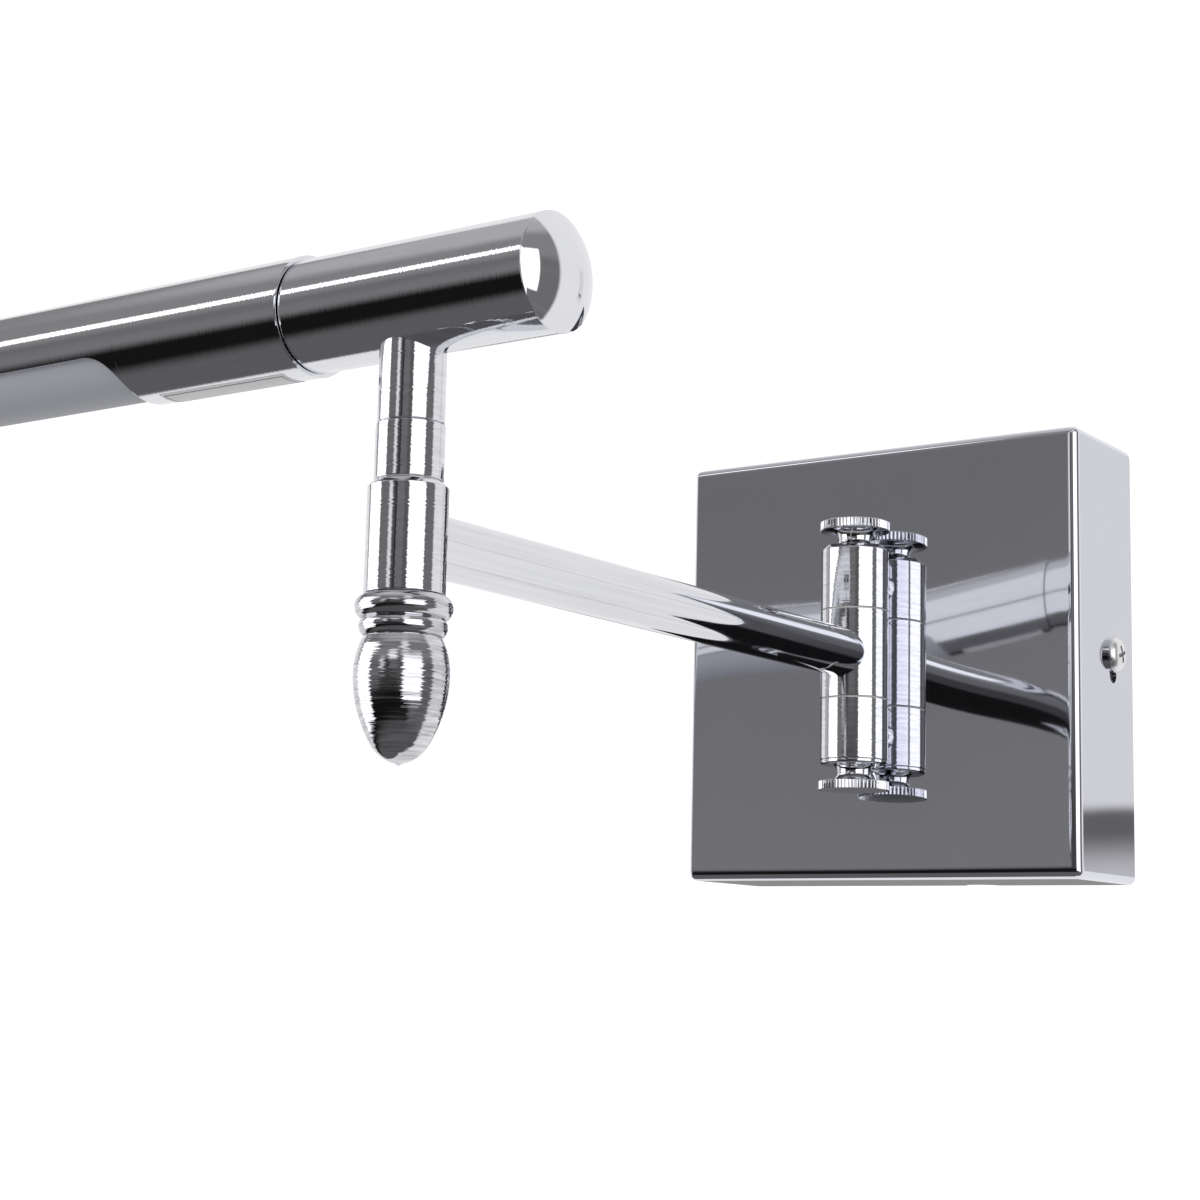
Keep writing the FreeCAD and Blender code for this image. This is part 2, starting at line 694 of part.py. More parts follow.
def nipple_sets():
    """Hollow threaded nipples with their washers and lock nuts, inside the plate."""
    inner_face = sheet_gauge - plate_depth
    back_end = inner_face + 7
    front_end = barrel_y + knuckle_cavity
    nipples, washers, lock_nuts = [], [], []
    for side in (1, -1):
        z = nipple_height * side
        nipples.append(ring(f"nipple_{side}", nipple_radius, nipple_bore, back_end - front_end,
                            (0, front_end, z), "+Y"))
        washers.append(ring(f"nipple_washer_{side}", 7, nipple_radius + 0.1, 1,
                            (0, inner_face, z), "+Y"))
        lock_nuts.append(hex_nut(f"lock_nut_{side}", 13, nipple_radius, 3.5,
                                 (0, inner_face + 1, z), "+Y"))
    keep(grouped("nipple_pair", nipples), "knuckle_nipples")
    keep(grouped("nipple_washer_pair", washers), "nipple_washers")
    keep(grouped("lock_nut_pair", lock_nuts), "nipple_nuts")


# ---------------------------------------------------------------- arm and post

def arm_tube():
    """Tube coped to the middle knuckle and to the post sleeve."""
    blank = ring("arm_blank", arm_radius, arm_bore, arm_reach, (0, barrel_y, 0), "-Y")
    knuckle_cope = cylinder("arm_knuckle_cope", barrel_radius, 20, (0, barrel_y, -10))
    sleeve_cope = cylinder("arm_sleeve_cope", sleeve_radius, 20, (0, post_y, -10))
    return cut("arm", blank, knuckle_cope, sleeve_cope)


def post_sleeve():
    """Sleeve at the arm's end that the post turns in."""
    profile = [(sleeve_bore, -sleeve_half), (sleeve_radius - 0.25, -sleeve_half),
               (sleeve_radius, 0.25 - sleeve_half), (sleeve_radius, sleeve_half - sleeve_chamfer),
               (sleeve_radius - sleeve_chamfer, sleeve_half), (sleeve_bore, sleeve_half)]
    body = place(turned("sleeve_turned", profile), (0, post_y, 0))
    hole = cylinder("sleeve_lead_hole", lead_hole, sleeve_radius + 1, (0, post_y, 0), "+Y")
    return cut("sleeve", body, hole)


def sleeve_bush(name, along):
    """Nylon bush that stands 0.2 mm proud of the sleeve, so that metal doesn't rub on metal."""
    profile = [(spindle_radius + running_clearance, 4.6), (sleeve_bore, 4.6), (sleeve_bore, sleeve_half),
               (sleeve_radius - 1.5, sleeve_half), (sleeve_radius - 1.5, sleeve_half + 0.2),
               (spindle_radius + running_clearance, sleeve_half + 0.2)]
    return place(turned(name, profile), (0, post_y, 0), along)


def arm_lead():
    """Lead from the barrel, round the hinge pin and along the arm to the post sleeve."""
    return lead("arm_output", 5,
                [(pin_radius + 1.5, barrel_y, 5.4), (3.6, barrel_y - 1.5, 1.5), (0.9, barrel_y - 7.4, 0),
                 (0, barrel_y - 16, 0), (0, post_y + spindle_radius + 0.9, 0)])


def spindle():
    """Hollow threaded spindle through the post, with a window for the arm's lead."""
    tube = ring("spindle_tube", spindle_radius, spindle_bore, spindle_top - spindle_foot,
                (0, post_y, spindle_foot))
    window = cylinder("spindle_window", spindle_radius + 1, 8, (0, post_y, -4), angle=150, spin=-10)
    return cut("spindle_part", tube, window)


def post_collar():
    """Turned collar between the sleeve and the upper post."""
    foot = sleeve_half + post_gap
    edge = 0.15
    profile = [(spindle_radius, foot), (collar_radius - edge, foot), (collar_radius, foot + edge),
               (collar_radius, collar_top - edge), (collar_radius - edge, collar_top),
               (spindle_radius, collar_top)]
    return place(turned("collar", profile), (0, post_y, 0))


def post_stub():
    """Upper post, coped to the head tube."""
    blank = ring("stub_blank", stub_radius, spindle_radius, 18, (0, post_y, collar_top))
    cope = cylinder("stub_cope", head_radius, 30, (-15, post_y, head_height), "+X")
    return cut("stub", blank, cope)


def friction_washer():
    """Thin steel washer in the finial ring's recess, against the sleeve's lower bush."""
    return ring("friction_ring", 6, spindle_radius + 0.1, 0.33,
                (0, post_y, -(sleeve_half + post_gap + 0.34)))


def finial_ring():
    """Turned ring with two beads and a recess for the friction washer."""
    top = -(sleeve_half + post_gap)
    recess = top - 0.35
    groove = -15.45
    profile = [(spindle_radius, -finial_top), (bead_radius - 1.75, -finial_top),
               (bead_radius - 1.35, groove, 2.3), (bead_radius - 1.3, top, 2.45),
               (6.2, top), (6.2, recess), (spindle_radius, recess)]
    return place(turned("bead_ring", profile), (0, post_y, 0))


def finial():
    """Acorn-shaped end nut with a blind hole for the spindle."""
    tip_start = 0.8
    top = -(finial_top + 0.02)
    profile = [(0, spindle_foot), (spindle_radius, spindle_foot), (spindle_radius, top), (7.4, top),
               (finial_radius, -finial_widest, -15.3), (5.4, -finial_shoulder, -25.5),
               (tip_start, 0.5 - finial_tip, -7.2), (0, -finial_tip)]
    return place(turned("acorn", profile), (0, post_y, 0))


# ---------------------------------------------------------------- head tube

def head_tube():
    """Short tube across the post, with a hole for the spindle."""
    length = head_end + head_seam
    blank = ring("head_blank", head_radius, head_bore, length, (-head_seam, post_y, head_height), "+X")
    hole = cylinder("head_spindle_hole", spindle_radius, 10, (0, post_y, head_height - head_radius - 1))
    return cut("head", blank, hole)


def domed_cap(name, start, radius, bore):
    """Shallow pressed cap with a skirt that fits in a tube's bore; start is the tube's end."""
    wall = 1.3
    depth = 6
    curve = (radius * radius + cap_rise * cap_rise) / (cap_rise * 2)
    inner = bore - wall
    inner_rise = cap_rise - 0.9
    inner_curve = (inner * inner + inner_rise * inner_rise) / (inner_rise * 2)
    profile = [(start - depth, inner), (start - depth + 0.4, bore), (start, bore), (start, radius - 0.2),
               (start + 0.2, radius), (start + cap_rise, 0, -curve), (start + cap_rise - wall, 0),
               (start - 0.4, inner, inner_curve)]
    return turned(name, profile, about="X")


def head_cap():
    return place(domed_cap("head_dome", head_end, head_radius, head_bore), (0, post_y, head_height))


def saddle_washer():
    """Washer that makes a flat seat for the spindle's nut in the round tube."""
    blank = ring("saddle_blank", 6.3, spindle_radius, 5.3, (0, post_y, spindle_nut_seat - 5.3))
    inside = cylinder("saddle_inside", head_bore, 20, (-10, post_y, head_height), "+X")
    return common("saddle", blank, inside)


def bearing_plate():
    """Brass end plate of the head tube; the lamp's spigot turns in it."""
    return ring("bearing", head_bore, spigot_radius + running_clearance, 4,
                (-head_seam, post_y, head_height), "+X")


def head_lead():
    """Lead up the spindle and along the head tube to the lamp."""
    high = head_height + 1.5
    return lead("head_output", 4,
                [(0, post_y, -3), (0, post_y, high), (-11, post_y, high),
                 (-16, post_y, head_height), (-18, post_y, head_height)])


# ---------------------------------------------------------------- lamp

def lamp_shell():
    """Chromed tube with a long window in its underside."""
    start = -lamp_start
    end = -lamp_end
    profile = [(end, lamp_bore), (start, lamp_bore), (start, lamp_radius - 0.15),
               (start - 0.15, lamp_radius), (end, lamp_radius)]
    body = turned("shell", profile, about="X")
    near = -window_start
    far = window_end_margin - lamp_end
    low = -(lamp_radius + 5)
    high = -window_drop
    opening = [(far, low), (near, low), (near, high - window_corner),
               (near - window_corner, high, window_corner), (far + window_corner, high),
               (far, high - window_corner, window_corner)]
    sketch = draw(sketch_on(body, "XZ_Plane", "window"), opening)
    window = body.newObject("PartDesign::Pocket", "shell_window")
    window.Profile = sketch
    window.Midplane = True
    bind(window, "Length", lamp_radius * 4)
    body.Tip = window
    return place(body, (0, post_y, head_height))


def lamp_spigot():
    """Plug in the lamp's end, with a hollow neck that turns in the bearing plate."""
    neck = spigot_radius
    bore = 3
    groove = neck - 0.7
    tip = spigot_clip_x + 2
    back = -(lamp_start + 11)
    profile = [(back, bore), (tip, bore), (tip, neck), (spigot_clip_x + 0.8, neck),
               (spigot_clip_x + 0.8, groove), (spigot_clip_x, groove), (spigot_clip_x, neck),
               (-lamp_start, neck), (-lamp_start, lamp_bore), (back, lamp_bore)]
    return place(turned("spigot", profile, about="X"), (0, post_y, head_height))


def spigot_clip():
    """Snap ring that keeps the spigot behind the bearing plate."""
    return ring("clip", 6.8, spigot_radius - 0.7, 0.8, (spigot_clip_x, post_y, head_height), "+X")


def seam_washer():
    """Thin nylon washer in the seam between the lamp and the head tube."""
    return ring("seam_ring", 9.8, spigot_radius, 0.25, (-(lamp_start - 0.02), post_y, head_height), "+X")


def diffuser():
    """Frosted tube along the whole lamp, seen through the window."""
    return ring("diffuser_tube", diffuser_radius, diffuser_bore, lamp_length - 22,
                (-(lamp_end - 11), post_y, head_height), "+X")


def board_screw_places():
    """The two ends and the middle of the board, in X."""
    for index, share in enumerate((0.04, 0.5, 0.96)):
        yield index, -(lamp_start + 20 + (lamp_length - 40) * share)


def board_screw_holes(name, bottom, height):
    return [cylinder(f"{name}_{index}", 1, height, (x, post_y + board_screw_side, bottom))
            for index, x in board_screw_places()]


def heat_sink():
    """D-shaped aluminium bar in the top of the diffuser, with blind holes for the board's screws."""
    bar = box("sink_bar", (-lamp_end + 14, post_y - 9, head_height + 2),
              (-(lamp_start + 14), post_y + 9, head_height + 9))
    inside = cylinder("sink_inside", diffuser_bore - 0.1, lamp_length, (-lamp_end, post_y, head_height),
                      "+X")
    holes = board_screw_holes("sink_hole", head_height + 1, 4)
    return cut("sink", common("sink_blank", bar, inside), *holes)


def led_board():
    """Long narrow circuit board under the bar."""
    blank = box("board_blank", (-lamp_end + 16, post_y - 5, head_height + 0.8),
                (-(lamp_start + 16), post_y + 5, head_height + 2))
    return cut("board", blank, *board_screw_holes("board_hole", head_height, 3))


def led_chips():
    """One row of chips on the board's underside."""
    first = window_start + 2
    span = window_end_margin + 2
    pitch = (lamp_end - first - span) / (led_count - 1)
    chips = []
    for index in range(led_count):
        x = -(first + pitch * index)
        chips.append(box(f"chip_{index}", (x - 1.75, post_y - 1.4, head_height + 0.1),
                         (x + 1.75, post_y + 1.4, head_height + 0.8)))
    return grouped("chip_row", chips)


def board_screws():
    """Pan head screws that hold the board to the bar."""
    y = post_y + board_screw_side
    screws = []
    for index, x in board_screw_places():
        shank = cylinder(f"board_shank_{index}", 1, 4.2, (x, y, head_height + 0.8))
        head = cylinder(f"board_head_{index}", 1.5, 0.9, (x, y, head_height - 0.1))
        screws.append(fused(f"board_screw_{index}", [shank, head]))
    return grouped("board_screw_set", screws)


def lamp_end_cap():
    """The head cap's twin, at the lamp's free end."""
    dome = domed_cap("lamp_dome", lamp_end, lamp_radius, lamp_bore)
    mirrored = doc.addObject("Part::Mirroring", "lamp_dome_mirrored")
    mirrored.Source = dome
    mirrored.Normal = Vector(1, 0, 0)
    return place(mirrored, (0, post_y, head_height))


def lamp_label():
    """Blank sticker on the underside, between the seam and the window."""
    blank = cylinder("label_blank", lamp_radius + 0.08, 34, (-64.5, post_y, head_height), "+X",
                     angle=32, spin=-16)
    core = cylinder("label_core", lamp_radius, 36, (-65.5, post_y, head_height), "+X")
    return cut("label", blank, core)


def lamp_lead():
    """Lead from the spigot to the end of the board."""
    start = -lamp_start
    low = head_height - 1.6
    return lead("lamp_output", 4,
                [(spigot_clip_x + 1.5, post_y, head_height), (start - 10, post_y, head_height),
                 (start - 15, post_y, low), (start - 19, post_y, head_height - 0.2)])


# ---------------------------------------------------------------- assembly

keep(wall_cover(), "wall_cover")
keep(mounting_bracket(), "mounting_bracket")
keep(inlet_grommet(), "inlet_grommet")
keep(grouped("side_washer_pair", [side_washer(1, "+X"), side_washer(-1, "-X")]), "side_washers")
keep(grouped("side_screw_pair", [side_screw(1, "+X"), side_screw(-1, "-X")]), "side_screws")
keep(led_driver(), "led_driver")
keep(grouped("driver_screw_pair", [small_screw(f"driver_screw_{index}", x, z, 2.5)
                                   for index, (x, z) in enumerate(driver_screws)]), "driver_screws")
keep(terminal_block(), "terminal_block")
keep(terminal_screws(), "terminal_screws")
keep(small_screw("terminal_fixing", *terminal_screw, terminal_depth - 8.5), "terminal_fixing_screw")
keep(small_screw("earth_screw_turned", *earth_screw, 1.2), "earth_screw")
keep(supply_leads(), "supply_leads")
keep(earth_lead(), "earth_lead")
keep(driver_lead(), "driver_lead")

keep(end_knuckle("upper_end", barrel_half, end_chamfer, 1), "upper_knuckle")
keep(end_knuckle("lower_end", barrel_half - end_ring_height, as_size(0.15), -1), "lower_knuckle")
keep(lower_ring(), "lower_knuckle_ring")
keep(knuckle_spacers(), "knuckle_spacers")
nipple_sets()
keep(cylinder("pin", pin_radius, 65, (0, barrel_y, -32.5)), "hinge_pin")
keep(thumb_nut("upper_nut", "+Z"), "upper_thumb_nut")
keep(thumb_nut("lower_nut", "-Z"), "lower_thumb_nut")

keep(middle_knuckle(), "middle_knuckle")
keep(knuckle_bush("upper_bush", "+Z"), "upper_knuckle_bush")
keep(knuckle_bush("lower_bush", "-Z"), "lower_knuckle_bush")
keep(arm_tube(), "arm_tube")
keep(post_sleeve(), "post_sleeve")
keep(sleeve_bush("sleeve_top_bush", "+Z"), "upper_sleeve_bush")
keep(sleeve_bush("sleeve_foot_bush", "-Z"), "lower_sleeve_bush")
keep(arm_lead(), "arm_lead")

keep(spindle(), "post_spindle")
keep(post_collar(), "post_collar")
keep(post_stub(), "post_stub")
keep(friction_washer(), "friction_washer")
keep(finial_ring(), "finial_ring")
keep(finial(), "finial")
keep(head_tube(), "head_tube")
keep(head_cap(), "head_cap")
keep(saddle_washer(), "saddle_washer")
keep(hex_nut("spindle_hex", 11, spindle_radius, 3, (0, post_y, spindle_nut_seat), "+Z"), "spindle_nut")
keep(bearing_plate(), "bearing_plate")
keep(head_lead(), "head_lead")

keep(lamp_shell(), "lamp_shell")
keep(diffuser(), "diffuser")
keep(lamp_spigot(), "lamp_spigot")
keep(spigot_clip(), "spigot_clip")
keep(seam_washer(), "seam_washer")
keep(heat_sink(), "heat_sink")
keep(led_board(), "led_board")
keep(led_chips(), "led_chips")
keep(board_screws(), "board_screws")
keep(lamp_end_cap(), "lamp_end_cap")
keep(lamp_label(), "lamp_label")
keep(lamp_lead(), "lamp_lead")

doc.recompute()

for thing in doc.Objects:
    if "Invalid" in thing.State or "Error" in thing.State:
        raise RuntimeError(f"{thing.Name} did not compute: {thing.State}")

os.makedirs("parts", exist_ok=True)
for label, thing in nodes.items():
    shape = thing.Shape
    if shape.isNull() or not shape.isValid() or not shape.Solids:
        raise RuntimeError(f"{label} has no valid solid")
    shape.exportStep(f"parts/{label}.step")
    span = shape.BoundBox
    print(f"{label:24s} solids {len(shape.Solids):2d}  volume {shape.Volume:10.1f}  "
          f"x {span.XMin:8.2f} {span.XMax:8.2f}  y {span.YMin:8.2f} {span.YMax:8.2f}  "
          f"z {span.ZMin:7.2f} {span.ZMax:7.2f}")
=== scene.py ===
import json
import math

import bmesh
import bpy
from mathutils import Matrix, Vector


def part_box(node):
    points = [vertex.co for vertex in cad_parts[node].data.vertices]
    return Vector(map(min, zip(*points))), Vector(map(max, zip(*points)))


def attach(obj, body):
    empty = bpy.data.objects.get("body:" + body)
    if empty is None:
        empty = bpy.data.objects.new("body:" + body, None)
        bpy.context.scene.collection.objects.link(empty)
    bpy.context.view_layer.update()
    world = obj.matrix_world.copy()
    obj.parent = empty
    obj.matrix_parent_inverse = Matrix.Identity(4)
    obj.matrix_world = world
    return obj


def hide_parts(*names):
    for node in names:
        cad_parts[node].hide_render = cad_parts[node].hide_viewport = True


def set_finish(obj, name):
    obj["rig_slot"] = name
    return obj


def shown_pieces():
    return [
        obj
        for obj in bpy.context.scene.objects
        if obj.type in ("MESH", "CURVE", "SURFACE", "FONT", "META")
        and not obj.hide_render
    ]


# Chromed swing arm wall light in a plain bright studio.
#
# Metres, +Z up. The wall is the plane y = 0 and the room is on its -Y side. Shapes take their
# places and sizes from the frame's nodes. Small sizes that the frame doesn't hold are in
# millimetres, and are turned into metres where the mesh is made.

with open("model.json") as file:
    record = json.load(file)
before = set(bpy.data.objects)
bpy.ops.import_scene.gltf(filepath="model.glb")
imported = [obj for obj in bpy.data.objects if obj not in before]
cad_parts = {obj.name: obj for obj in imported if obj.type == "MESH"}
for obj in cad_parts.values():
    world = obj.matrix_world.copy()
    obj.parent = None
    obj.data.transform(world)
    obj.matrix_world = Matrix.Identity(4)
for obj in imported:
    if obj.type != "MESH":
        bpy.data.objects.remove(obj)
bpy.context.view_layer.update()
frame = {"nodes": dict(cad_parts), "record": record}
MM = 0.001
AROUND = 192                # steps round a turned piece
CREASE = 34                 # degrees; a sharper edge than this is shaded as an edge
WELD = 1e-4                 # millimetres


# ---------------------------------------------------------------- places and sizes from the frame

class Extent:
    """A node's box in millimetres."""

    def __init__(self, node):
        low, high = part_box(node)
        self.low = low / MM
        self.high = high / MM
        self.middle = (self.low + self.high) / 2
        self.size = self.high - self.low


cover = Extent("wall_cover")
upper_knuckle = Extent("upper_knuckle")
lower_knuckle = Extent("lower_knuckle")
lock_ring = Extent("lower_knuckle_ring")
middle_knuckle = Extent("middle_knuckle")
thumb_nut = Extent("upper_thumb_nut")
arm = Extent("arm_tube")
sleeve = Extent("post_sleeve")
spindle = Extent("post_spindle")
collar = Extent("post_collar")
stub = Extent("post_stub")
bead_ring = Extent("finial_ring")
acorn = Extent("finial")
head = Extent("head_tube")
head_cap = Extent("head_cap")
shell = Extent("lamp_shell")
lamp_cap = Extent("lamp_end_cap")
opal = Extent("diffuser")
label = Extent("lamp_label")

barrel_axis = Vector((0, middle_knuckle.middle.y, 0))
post_axis = Vector((0, sleeve.middle.y, 0))
head_axis = Vector((0, head.middle.y, head.middle.z))
barrel_radius = middle_knuckle.size.x / 2
sleeve_radius = sleeve.size.x / 2
spindle_radius = spindle.size.x / 2
collar_radius = collar.size.x / 2
head_radius = head.size.z / 2
head_bore = 9.6
lamp_radius = shell.size.z / 2
lamp_bore = lamp_radius - 1


# ---------------------------------------------------------------- outlines, in millimetres

def arc(start, end, radius, steps):
    """Points between start and end on an arc that bulges to the right of the way if radius > 0."""
    start, end = Vector(start), Vector(end)
    chord = end - start
    height = math.sqrt(max(radius * radius - chord.length_squared / 4, 0))
    left = Vector((-chord.y, chord.x)).normalized()
    centre = (start + end) / 2 + left * math.copysign(height, radius)
    first = start - centre
    turn = math.copysign(2 * math.asin(min(chord.length / 2 / abs(radius), 1)), radius)
    points = []
    for step in range(1, steps):
        angle = turn * step / steps
        spun = Vector((first.x * math.cos(angle) - first.y * math.sin(angle),
                       first.x * math.sin(angle) + first.y * math.cos(angle)))
        points.append(centre + spun)
    return points


def outline(corners):
    """A closed outline. A corner is (u, v); (u, v, fillet), with a rounded corner; or
    (u, v, fillet, radius), which is reached by an arc of that radius."""
    points = []
    count = len(corners)
    for index, corner in enumerate(corners):
        here = Vector(corner[:2])
        before = Vector(corners[index - 1][:2])
        after = Vector(corners[(index + 1) % count][:2])
        if len(corner) == 4:
            points += arc(before, here, corner[3], 28)
        fillet = corner[2] if len(corner) > 2 else 0
        if not fillet:
            points.append(here)
            continue
        back = (before - here).normalized()
        ahead = (after - here).normalized()
        trim = fillet / math.tan(back.angle(ahead) / 2)
        first = here + back * trim
        last = here + ahead * trim
        side = ahead.x * back.y - ahead.y * back.x
        points += [first, *arc(first, last, math.copysign(fillet, side), 5), last]
    return points


# ---------------------------------------------------------------- materials

class Nodes:
    """A node tree under construction."""

    def __init__(self, tree):
        self.tree = tree

    def node(self, kind, **inputs):
        """Add a node; values go to the inputs of those names, and sockets are linked to them."""
        made = self.tree.nodes.new(kind)
        for name, value in inputs.items():
            self.feed(made.inputs[name.replace("_", " ")], value)
        return made

    def feed(self, socket, value):
        if isinstance(value, bpy.types.NodeSocket):
            self.tree.links.new(value, socket)
        else:
            socket.default_value = value

    def maths(self, operation, *values):
        made = self.tree.nodes.new("ShaderNodeMath")
        made.operation = operation
        for socket, value in zip(made.inputs, values):
            self.feed(socket, value)
        return made.outputs[0]


class Shader(Nodes):
    """A material made with nodes."""

    def __init__(self, name):
        self.material = bpy.data.materials.new(name)
        self.material.use_nodes = True
        super().__init__(self.material.node_tree)
        self.surface = self.tree.nodes["Principled BSDF"]

    def place(self):
        return self.node("ShaderNodeTexCoord").outputs["Object"]

    def along(self, axis):
        """The place along one axis, in metres."""
        return self.node("ShaderNodeSeparateXYZ", Vector=self.place()).outputs[axis]

    def noise(self, scale, detail=2.0, roughness=0.5, vector=None):
        made = self.node("ShaderNodeTexNoise", Scale=scale, Detail=detail, Roughness=roughness,
                         Vector=vector or self.place())
        return made.outputs["Fac"]

    def lines(self, axis, scale, detail=3.0):
        """Noise that changes along one axis only, as lathe marks do."""
        made = self.tree.nodes.new("ShaderNodeTexNoise")
        made.noise_dimensions = "1D"
        self.feed(made.inputs["W"], self.along(axis))
        self.feed(made.inputs["Scale"], scale)
        self.feed(made.inputs["Detail"], detail)
        return made.outputs["Fac"]

    def between(self, factor, low, high):
        made = self.node("ShaderNodeMapRange", Value=factor, To_Min=low, To_Max=high)
        return made.outputs["Result"]

    def vector(self, operation, *values):
        made = self.tree.nodes.new("ShaderNodeVectorMath")
        made.operation = operation
        for socket, value in zip(made.inputs, values):
            self.feed(socket, value)
        return made.outputs["Vector"]

    def mix(self, factor, first, second):
        """Mix two colours, which are inputs 6 and 7 of the node and its output 2."""
        made = self.tree.nodes.new("ShaderNodeMix")
        made.data_type = "RGBA"
        made.clamp_factor = False
        self.feed(made.inputs["Factor"], factor)
        self.feed(made.inputs[6], (*first, 1))
        self.feed(made.inputs[7], (*second, 1))
        return made.outputs[2]

    def bump(self, height, distance, strength=1.0, below=None):
        made = self.node("ShaderNodeBump", Height=height, Distance=distance, Strength=strength)
        if below is not None:
            self.feed(made.inputs["Normal"], below)
        return made.outputs["Normal"]

    def tipped(self, axis, scale, tilt, below):
        """The normal, tipped round an axis by an angle that changes along it, as chatter does."""
        amount = self.between(self.lines(axis, scale, 4), -tilt, tilt)
        own_axis = Vector([letter == axis for letter in "XYZ"])
        turn = self.node("ShaderNodeVectorTransform", Vector=own_axis)
        around = self.vector("CROSS_PRODUCT", turn.outputs["Vector"], below)
        return self.vector("NORMALIZE", self.vector("MULTIPLY_ADD", around, amount, below))

    def finish(self, **inputs):
        for name, value in inputs.items():
            self.feed(self.surface.inputs[name.replace("_", " ")], value)
        return self.material


def chrome(name, axis, fine, coarse, chatter, dull=0.965, across=1.0, along=1.0, painted_reflection_lines=()):
    """Bright plating. Its marks run round one axis: fine and coarse ones, of these depths, and
    the tool's chatter, a slope. Cloudy marks darken it by the factor dull; across and along
    scale them. The last argument gives heights of faint broken dark lines along the tube,
    which are painted reflections."""
    shader = Shader(name)
    tint = (0.80, 0.805, 0.845)
    darker = tuple(part * dull for part in tint)
    stretch = Vector([along if letter == axis else across for letter in "XYZ"])
    drawn = shader.vector("MULTIPLY", shader.place(), stretch)
    cloud_and_painted_reflections = shader.between(shader.noise(140, 4, vector=drawn), -0.4, 1.6)
    stray, half_width = 0.6 * MM, 0.07 * MM
    # each height gives a painted reflection: a faint broken dark line along the tube, darker and
    # rougher plating
    for height in painted_reflection_lines:
        wander = shader.maths("MULTIPLY", shader.noise(30, 1), stray)
        level = shader.maths("SUBTRACT", shader.along("Z"), wander)
        line = shader.maths("COMPARE", level, height * MM, half_width)
        broken = shader.maths("MULTIPLY", line, shader.between(shader.noise(160, 2), 0.2, 2.4))
        cloud_and_painted_reflections = shader.maths("SUBTRACT", cloud_and_painted_reflections, broken)
    marks = shader.lines(axis, 4200)
    waves = shader.lines(axis, 900, 1)
    normal = shader.bump(marks, fine * MM)
    normal = shader.bump(waves, coarse * MM, below=normal)
    normal = shader.tipped(axis, 2600, chatter, normal)
    return shader.finish(Base_Color=shader.mix(cloud_and_painted_reflections, darker, tint), Metallic=1.0,
                         Roughness=shader.between(cloud_and_painted_reflections, 0.07, 0.02), Normal=normal)


def mirror_sheet(name):
    """Bright plating on sheet, with a faint swell and polishing haze. Its normal leans up a
    little, and less and less towards the right edge, as the front isn't quite flat."""
    shader = Shader(name)
    haze = shader.noise(60, 4)
    swell, grain = shader.noise(22, 0), shader.noise(900, 2)
    normal = shader.bump(swell, 0.05 * MM)
    normal = shader.bump(grain, 0.00025 * MM, below=normal)
    lean = shader.node("ShaderNodeMapRange", Value=shader.along("X"), From_Min=0.01, From_Max=0.05,
                       To_Min=0.022, To_Max=0.0)
    upward = shader.node("ShaderNodeCombineXYZ", Z=lean.outputs["Result"])
    normal = shader.vector("NORMALIZE", shader.vector("ADD", normal, upward.outputs["Vector"]))
    return shader.finish(Base_Color=shader.mix(haze, (0.76, 0.765, 0.83), (0.79, 0.795, 0.86)),
                         Metallic=1.0, Roughness=shader.between(haze, 0.02, 0.05), Normal=normal)


def bare_metal(name, dark, light, rough, grain):
    """Plain plated or turned metal with a fine grain."""
    shader = Shader(name)
    cloud = shader.noise(260, 4)
    normal = shader.bump(shader.noise(grain, 3), 0.01 * MM, 0.5)
    return shader.finish(Base_Color=shader.mix(cloud, dark, light), Metallic=1.0,
                         Roughness=shader.between(cloud, rough - 0.06, rough + 0.06), Normal=normal)


def moulded(name, dark, light, rough, grain=2600):
    """Moulded plastic, rubber or wire insulation."""
    shader = Shader(name)
    cloud = shader.noise(120, 3)
    normal = shader.bump(shader.noise(grain, 2), 0.02 * MM, 0.4)
    return shader.finish(Base_Color=shader.mix(cloud, dark, light),
                         Roughness=shader.between(cloud, rough - 0.05, rough + 0.05), Normal=normal)


def opal_acrylic(name):
    """Frosted acrylic, unlit, coloured an even matt grey that is painted shade: the acrylic itself is
    paler.
    """
    shader = Shader(name)
    cloud = shader.noise(45, 2)
    normal = shader.bump(shader.noise(3500, 2), 0.004 * MM)
    # the grey base colour is painted shade, darker than the acrylic's own colour
    return shader.finish(Base_Color=shader.mix(cloud, (0.50, 0.51, 0.56), (0.54, 0.55, 0.60)),
                         Roughness=shader.between(cloud, 0.42, 0.5), Normal=normal)


def blank_label(name):
    """White film with a thin printed border, a little inside its edges."""
    shader = Shader(name)
    inset, half_line = 0.8 * MM, 0.2 * MM
    lines, insides = [], []
    for axis, middle, width in zip("XY", label.middle * MM, label.size * MM):
        off = shader.maths("ABSOLUTE", shader.maths("SUBTRACT", shader.along(axis), middle))
        gap = shader.maths("SUBTRACT", width / 2, off)
        lines.append(shader.maths("COMPARE", gap, inset, half_line))
        insides.append(shader.maths("GREATER_THAN", gap, inset - half_line))
    short_sides = shader.maths("MULTIPLY", lines[0], insides[1])
    long_sides = shader.maths("MULTIPLY", lines[1], insides[0])
    drawn = shader.maths("MAXIMUM", short_sides, long_sides)
    ink = shader.maths("MULTIPLY", drawn, shader.between(shader.noise(900, 2), 0.7, 1.0))
    normal = shader.bump(shader.noise(500, 2), 0.01 * MM, 0.4)
    white, black = (0.94, 0.95, 0.96), (0.10, 0.10, 0.11)
    return shader.finish(Base_Color=shader.mix(ink, white, black),
                         Roughness=shader.between(shader.noise(200, 2), 0.3, 0.42), Normal=normal)


